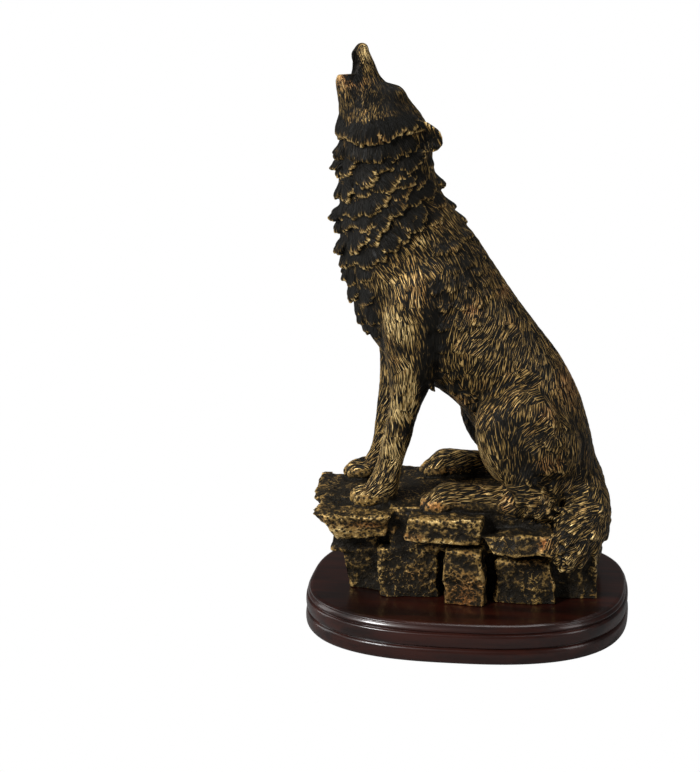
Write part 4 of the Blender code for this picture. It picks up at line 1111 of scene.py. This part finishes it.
# The short fur's hairs run side by side in small tufts, each with its own middle and direction
short = np.where(face_strand >= len(long_strands))[0]
face_normals = normals[skin_quads].mean(axis=1)
middles = short[scattered(face_centres[short], TUFT_SPACING)]
tufts = KDTree(len(middles))
for number, index in enumerate(middles):
    tufts.insert(face_centres[index], number)
tufts.balance()
tuft_of = np.array([tufts.find(face_centres[index])[1] for index in short])
middle_flows = flow_at(face_centres[middles], flows)
tuft_run = np.array([fur_run(face_centres[index], *flow[:2]) for index, flow in zip(middles, middle_flows)])
tuft_side = np.cross(tuft_run, face_normals[middles])
tuft_side /= np.linalg.norm(tuft_side, axis=1, keepdims=True)
tuft_middles = face_centres[middles]
_, strand_map[short] = strand_places(corner_points[short], tuft_of, tuft_middles, tuft_run, tuft_side)

# The face's hairs are finer
FACE_FROM = 172.0
FACE_FINENESS = 1.6
strand_map[face_centres[:, 2] > FACE_FROM] *= FACE_FINENESS

# Pieces of the casting: each ends at this height above the rock's top, so that it stays light
PIECES = [
    ("rock_lower", -16.0),
    ("rock_upper_and_feet", 8.0),
    ("haunches_and_legs", 58.0),
    ("shoulders_and_chest", 118.0),
    ("mane_and_head", 400.0),
]


def casting_piece(name, low, high):
    """The part of the skin between two heights, closed where it is cut, with the whole skin's shading."""
    level = face_centres[:, 2]
    chosen = np.where((level >= low) & (level < high))[0]
    quads = skin_quads[chosen]
    used, flat = np.unique(quads, return_inverse=True)
    flat = flat.reshape(-1)
    data = bpy.data.meshes.new(name)
    data.vertices.add(len(used))
    placed = skin_points[used] * (WOLF_SCALE * MM)
    placed[:, 2] += ROCK_TOP * MM
    data.vertices.foreach_set("co", placed.ravel())
    data.loops.add(len(flat))
    data.loops.foreach_set("vertex_index", flat)
    data.polygons.add(len(quads))
    data.polygons.foreach_set("loop_start", np.arange(len(quads)) * 4)
    data.polygons.foreach_set("use_smooth", np.ones(len(quads), bool))
    data.update(calc_edges=True)
    for label, domain, values in (
        ("relief", "POINT", relief[used]),
        ("form", "POINT", form[used]),
        ("gilt_and_shade", "POINT", gilt_and_shade[used]),
        ("copper", "POINT", copper[used]),
        ("reach", "CORNER", reach[chosen].ravel()),
        ("fur", "CORNER", np.repeat(furry[chosen], 4)),
        ("mane", "CORNER", np.repeat(in_clump[chosen], 4)),
    ):
        layer = data.attributes.new(label, "FLOAT", domain)
        layer.data.foreach_set("value", values.astype(np.float32))
    layer = data.uv_layers.new(name="strand")
    layer.data.foreach_set("uv", strand_map[chosen].reshape(-1).astype(np.float32))
    shell = bmesh.new()
    shell.from_mesh(data)
    rims = [edge for edge in shell.edges if edge.is_boundary]
    caps = bmesh.ops.holes_fill(shell, edges=rims)["faces"]
    for face in caps:
        face.smooth = True
    shell.to_mesh(data)
    shell.free()
    data.normals_split_custom_set_from_vertices(normals[used].tolist())
    return added(name, data)


casting_pieces = []
low = -math.inf
for name, high in PIECES:
    casting_pieces.append(casting_piece(name, low, high))
    low = high


# Paint of the casting
# Painted resin: a near-black patina lies in the hollows, and dry-brushed old gold catches the ridges of fur
# and stone, with some copper in it.
def new_material(name):
    material = bpy.data.materials.new(name)
    material.use_nodes = True
    return material, material.node_tree


class Graph:
    """Short ways to add shader nodes."""

    def __init__(self, tree):
        self.tree = tree

    def node(self, kind, **settings):
        made = self.tree.nodes.new(kind)
        for key, value in settings.items():
            setattr(made, key, value)
        return made

    def link(self, source, target):
        self.tree.links.new(source, target)

    def value(self, socket, given):
        if isinstance(given, (int, float, tuple)):
            socket.default_value = given
        else:
            self.link(given, socket)

    def math(self, operation, a, b=0.0, c=0.0, clamp=False):
        made = self.node("ShaderNodeMath", operation=operation, use_clamp=clamp)
        for socket, given in zip(made.inputs, (a, b, c)):
            self.value(socket, given)
        return made.outputs[0]

    def minus(self, a, b):
        return self.math("SUBTRACT", a, b)

    def times(self, a, b):
        return self.math("MULTIPLY", a, b)

    def times_plus(self, a, b, c, clamp=False):
        return self.math("MULTIPLY_ADD", a, b, c, clamp)

    def attribute(self, name):
        return self.node("ShaderNodeAttribute", attribute_name=name).outputs["Fac"]

    def step(self, value, low, high):
        made = self.node("ShaderNodeMapRange", interpolation_type="SMOOTHSTEP")
        self.value(made.inputs["Value"], value)
        made.inputs["From Min"].default_value = low
        made.inputs["From Max"].default_value = high
        return made.outputs["Result"]

    def mix(self, share, a, b):
        made = self.node("ShaderNodeMix", data_type="RGBA")
        self.value(made.inputs["Factor"], share)
        self.value(made.inputs["A"], a)
        self.value(made.inputs["B"], b)
        return made.outputs["Result"]

    def stretched(self, vector, scale):
        made = self.node("ShaderNodeMapping")
        self.link(vector, made.inputs["Vector"])
        made.inputs["Scale"].default_value = scale
        return made.outputs["Vector"]

    def noise(self, vector, scale, detail=3.0, roughness=0.6):
        made = self.node("ShaderNodeTexNoise")
        self.link(vector, made.inputs["Vector"])
        made.inputs["Scale"].default_value = scale
        made.inputs["Detail"].default_value = detail
        made.inputs["Roughness"].default_value = roughness
        return made.outputs["Fac"]


bronze, tree = new_material("old_gold_on_black_patina")
g = Graph(tree)
shader = tree.nodes["Principled BSDF"]
place = g.node("ShaderNodeTexCoord").outputs["Object"]
strand = g.node("ShaderNodeUVMap", uv_map="strand").outputs["UV"]
relief_in, form_in, gilt_and_shade_in, copper_in, reach_in, fur_in, mane_in = (
    g.attribute(label) for label in ("relief", "form", "gilt_and_shade", "copper", "reach", "fur", "mane")
)

# Hairs: noise drawn out along each strand, in the strands' own millimetres. The rest is noise in metres
hairs = g.noise(g.stretched(strand, (0.18, 2.1, 1.0)), 1.0, 1.5, 0.5)
grain = g.noise(place, 900.0, 3.0, 0.65)
patches = g.noise(place, 130.0, 3.0, 0.6)
pitted = g.noise(place, 560.0, 4.0, 0.6)
worm = g.math("ABSOLUTE", g.minus(g.noise(place, 400.0, 2.0, 0.5), 0.5))
worm = g.minus(1.0, g.step(worm, 0.0, 0.06))

# Ridges of the fur: its relief, its hairs, its broad form and the bright ends of the mane's locks
hair_ridge = g.step(hairs, 0.38, 0.66)
in_mane = g.times(mane_in, fur_in)
fur_ridge = g.times(relief_in, g.times_plus(in_mane, -0.3, 1.3))
hair_share = g.times_plus(in_mane, -0.40, g.times_plus(gilt_and_shade_in, 0.5, 1.0))
fur_ridge = g.times_plus(g.minus(hair_ridge, 0.53), hair_share, fur_ridge)
fur_ridge = g.times_plus(form_in, 0.20, g.math("ADD", fur_ridge, 0.5))
rim = g.times_plus(g.math("POWER", reach_in, 12.0), 1.15, -0.45)
fur_ridge = g.times_plus(rim, in_mane, fur_ridge)

# Ridges of the stone: its relief and form, black pits and veins
stone_ridge = g.times_plus(relief_in, 2.4, 0.52)
stone_ridge = g.times_plus(form_in, 0.26, stone_ridge)
stone_ridge = g.times_plus(g.minus(pitted, 0.48), 1.3, stone_ridge)
veined = g.step(g.noise(place, 55.0, 2.0), 0.45, 0.62)
veins = g.times(g.minus(worm, 0.2), veined)
stone_ridge = g.times_plus(veins, 0.5, stone_ridge)
mottle = g.minus(g.noise(place, 90.0, 4.0), 0.55)
stone_ridge = g.times_plus(mottle, 0.9, stone_ridge)

# Fur and stone joined, with the same patches, grain and gilding over both; the gilding map also carries
# painted shade
ridge = g.node("ShaderNodeMix", data_type="FLOAT")
g.link(fur_in, ridge.inputs["Factor"])
g.link(stone_ridge, ridge.inputs["A"])
g.link(fur_ridge, ridge.inputs["B"])
ridge = ridge.outputs["Result"]
patch_share = g.times_plus(in_mane, 0.6, 0.55)
ridge = g.times_plus(g.minus(patches, 0.5), patch_share, ridge)
ridge = g.times_plus(g.minus(grain, 0.5), 0.35, ridge)
ridge = g.times_plus(g.minus(gilt_and_shade_in, 0.5), 0.75, ridge)

# Three coats of paint, each on higher ridges than the last. Pits in the stone stay open
wash = g.step(ridge, 0.25, 0.75)
cells = g.node("ShaderNodeTexVoronoi")
g.link(place, cells.inputs["Vector"])
cells.inputs["Scale"].default_value = 560.0
open_pits = g.math("MAXIMUM", g.step(cells.outputs["Distance"], 0.28, 0.56), fur_in)
gold = g.times(g.step(ridge, 0.55, 1.15), open_pits)
bright = g.times(g.step(ridge, 0.98, 1.55), open_pits)

DARK_PATINA = (0.0062, 0.0056, 0.0042, 1)
STONE_PATINA = (0.0120, 0.0100, 0.0070, 1)
BROWN_WASH = (0.034, 0.024, 0.012, 1)
OLD_GOLD = (0.48, 0.295, 0.082, 1)
PALE_GOLD = (0.92, 0.68, 0.30, 1)
COPPER = (0.46, 0.150, 0.032, 1)
warm = g.times_plus(g.step(patches, 0.5, 0.75), 0.30, copper_in, clamp=True)
gold_colour = g.mix(warm, OLD_GOLD, COPPER)
patina = g.mix(fur_in, STONE_PATINA, DARK_PATINA)
colour = g.mix(g.times(wash, 0.8), patina, BROWN_WASH)
colour = g.mix(gold, colour, gold_colour)
pale_share = g.minus(1.0, g.times(warm, 0.6))
colour = g.mix(g.times(bright, pale_share), colour, PALE_GOLD)
g.link(colour, shader.inputs["Base Color"])
g.link(g.times(gold, 0.55), shader.inputs["Metallic"])
g.link(g.times_plus(gold, 0.45, 0.12), shader.inputs["Specular IOR Level"])
g.link(g.times_plus(g.noise(place, 260.0), 0.25, 0.36), shader.inputs["Roughness"])

# Fine relief, in metres
HAIR_DEPTH = 0.00045
WORM_DEPTH = 0.0003
PITTED_DEPTH = 0.0006
GRAIN_DEPTH = 0.00006
height = g.times(g.times(hair_ridge, fur_in), HAIR_DEPTH)
stone_height = g.times_plus(worm, WORM_DEPTH, g.times(pitted, PITTED_DEPTH))
rough = g.times(g.minus(1.0, fur_in), stone_height)
bump = g.node("ShaderNodeBump")
bump.inputs["Distance"].default_value = 1.0
bump.inputs["Strength"].default_value = 1.0
g.link(g.math("ADD", height, g.times_plus(grain, GRAIN_DEPTH, rough)), bump.inputs["Height"])
g.link(bump.outputs["Normal"], shader.inputs["Normal"])

for piece in casting_pieces:
    piece.data.materials.append(bronze)
    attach(piece, "root")
    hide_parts("wolf_on_rock")


# Wooden plinth
# One piece of wood, moulded round its oval edge with a foot bead, a band and a lip, stained a dark red-brown
# and lacquered. The casting is glued on top of it.
PLINTH_LENGTH = 149.2
PLINTH_WIDTH = 114.0
PLINTH_ROUNDNESS = 2.6

# The moulded edge, from the foot up: how far in, height
PLINTH_EDGE = [
    (0.8, 0.0), (0.1, 1.2), (0.0, 3.8), (0.5, 6.0), (1.5, 6.9), (0.6, 7.8), (0.2, 10.4), (0.5, 13.0),
    (1.5, 13.8), (1.0, 14.8), (1.5, 15.8), (1.9, 16.3), (2.1, 17.0), (3.4, 17.7),
]
PLINTH_SIDES = 220
PLINTH_STEPS = 4
TOP_INSETS = (3.6, 6.0, 14.0, 28.0, 44.0)
SHARP_EDGE = math.radians(35)


def oval(inset, height):
    """The plinth's outline, pulled in all round by inset, in metres."""
    points = []
    for k in range(PLINTH_SIDES):
        angle = math.tau * k / PLINTH_SIDES
        c, s = math.cos(angle), math.sin(angle)
        x = math.copysign(abs(c) ** (2 / PLINTH_ROUNDNESS), c) * (PLINTH_LENGTH / 2 - inset)
        y = math.copysign(abs(s) ** (2 / PLINTH_ROUNDNESS), s) * (PLINTH_WIDTH / 2 - inset)
        points.append(Vector((x, y, height)) * MM)
    return points


wood = bmesh.new()
edge_count = (len(PLINTH_EDGE) - 1) * PLINTH_STEPS + 1
edge_rows = [between(PLINTH_EDGE, row / PLINTH_STEPS) for row in range(edge_count)]
edge_rows = [(inset, min(max(height, 0.0), PLINTH_HEIGHT)) for inset, height in edge_rows]
edge_rows += [(inset, PLINTH_HEIGHT) for inset in TOP_INSETS]
skin_rings(wood, [oval(inset, height) for inset, height in edge_rows])
bmesh.ops.recalc_face_normals(wood, faces=wood.faces)
plinth = added("moulded_plinth", mesh_of(wood, "moulded_plinth"))
plinth.data.shade_smooth()
plinth.data.set_sharp_from_angle(angle=SHARP_EDGE)

# Lacquer: dark red-brown mahogany with fine grain along the plinth, under a clear gloss
lacquer, tree = new_material("lacquered_mahogany")
g = Graph(tree)
shader = tree.nodes["Principled BSDF"]
place = g.node("ShaderNodeTexCoord").outputs["Object"]
pores = g.noise(g.stretched(place, (60, 900, 900)), 1.0, 4.0, 0.65)
figure = g.noise(g.stretched(place, (14, 120, 120)), 1.0, 4.0, 0.6)
DARK_WOOD = (0.007, 0.0018, 0.0011, 1)
RED_WOOD = (0.032, 0.0062, 0.0030, 1)
PORE_BROWN = (0.008, 0.003, 0.0025, 1)
colour = g.mix(g.step(figure, 0.3, 0.7), DARK_WOOD, RED_WOOD)
colour = g.mix(g.times(g.step(pores, 0.5, 0.75), 0.6), colour, PORE_BROWN)
g.link(colour, shader.inputs["Base Color"])
shader.inputs["Roughness"].default_value = 0.34
shader.inputs["Coat Weight"].default_value = 0.4
shader.inputs["Specular IOR Level"].default_value = 0.3
g.link(g.times_plus(g.noise(place, 320.0), 0.10, 0.08), shader.inputs["Coat Roughness"])
bump = g.node("ShaderNodeBump")
bump.inputs["Distance"].default_value = 0.00008
bump.inputs["Strength"].default_value = 0.5
g.link(pores, bump.inputs["Height"])
g.link(bump.outputs["Normal"], shader.inputs["Normal"])
plinth.data.materials.append(lacquer)
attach(plinth, "root")
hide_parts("plinth")
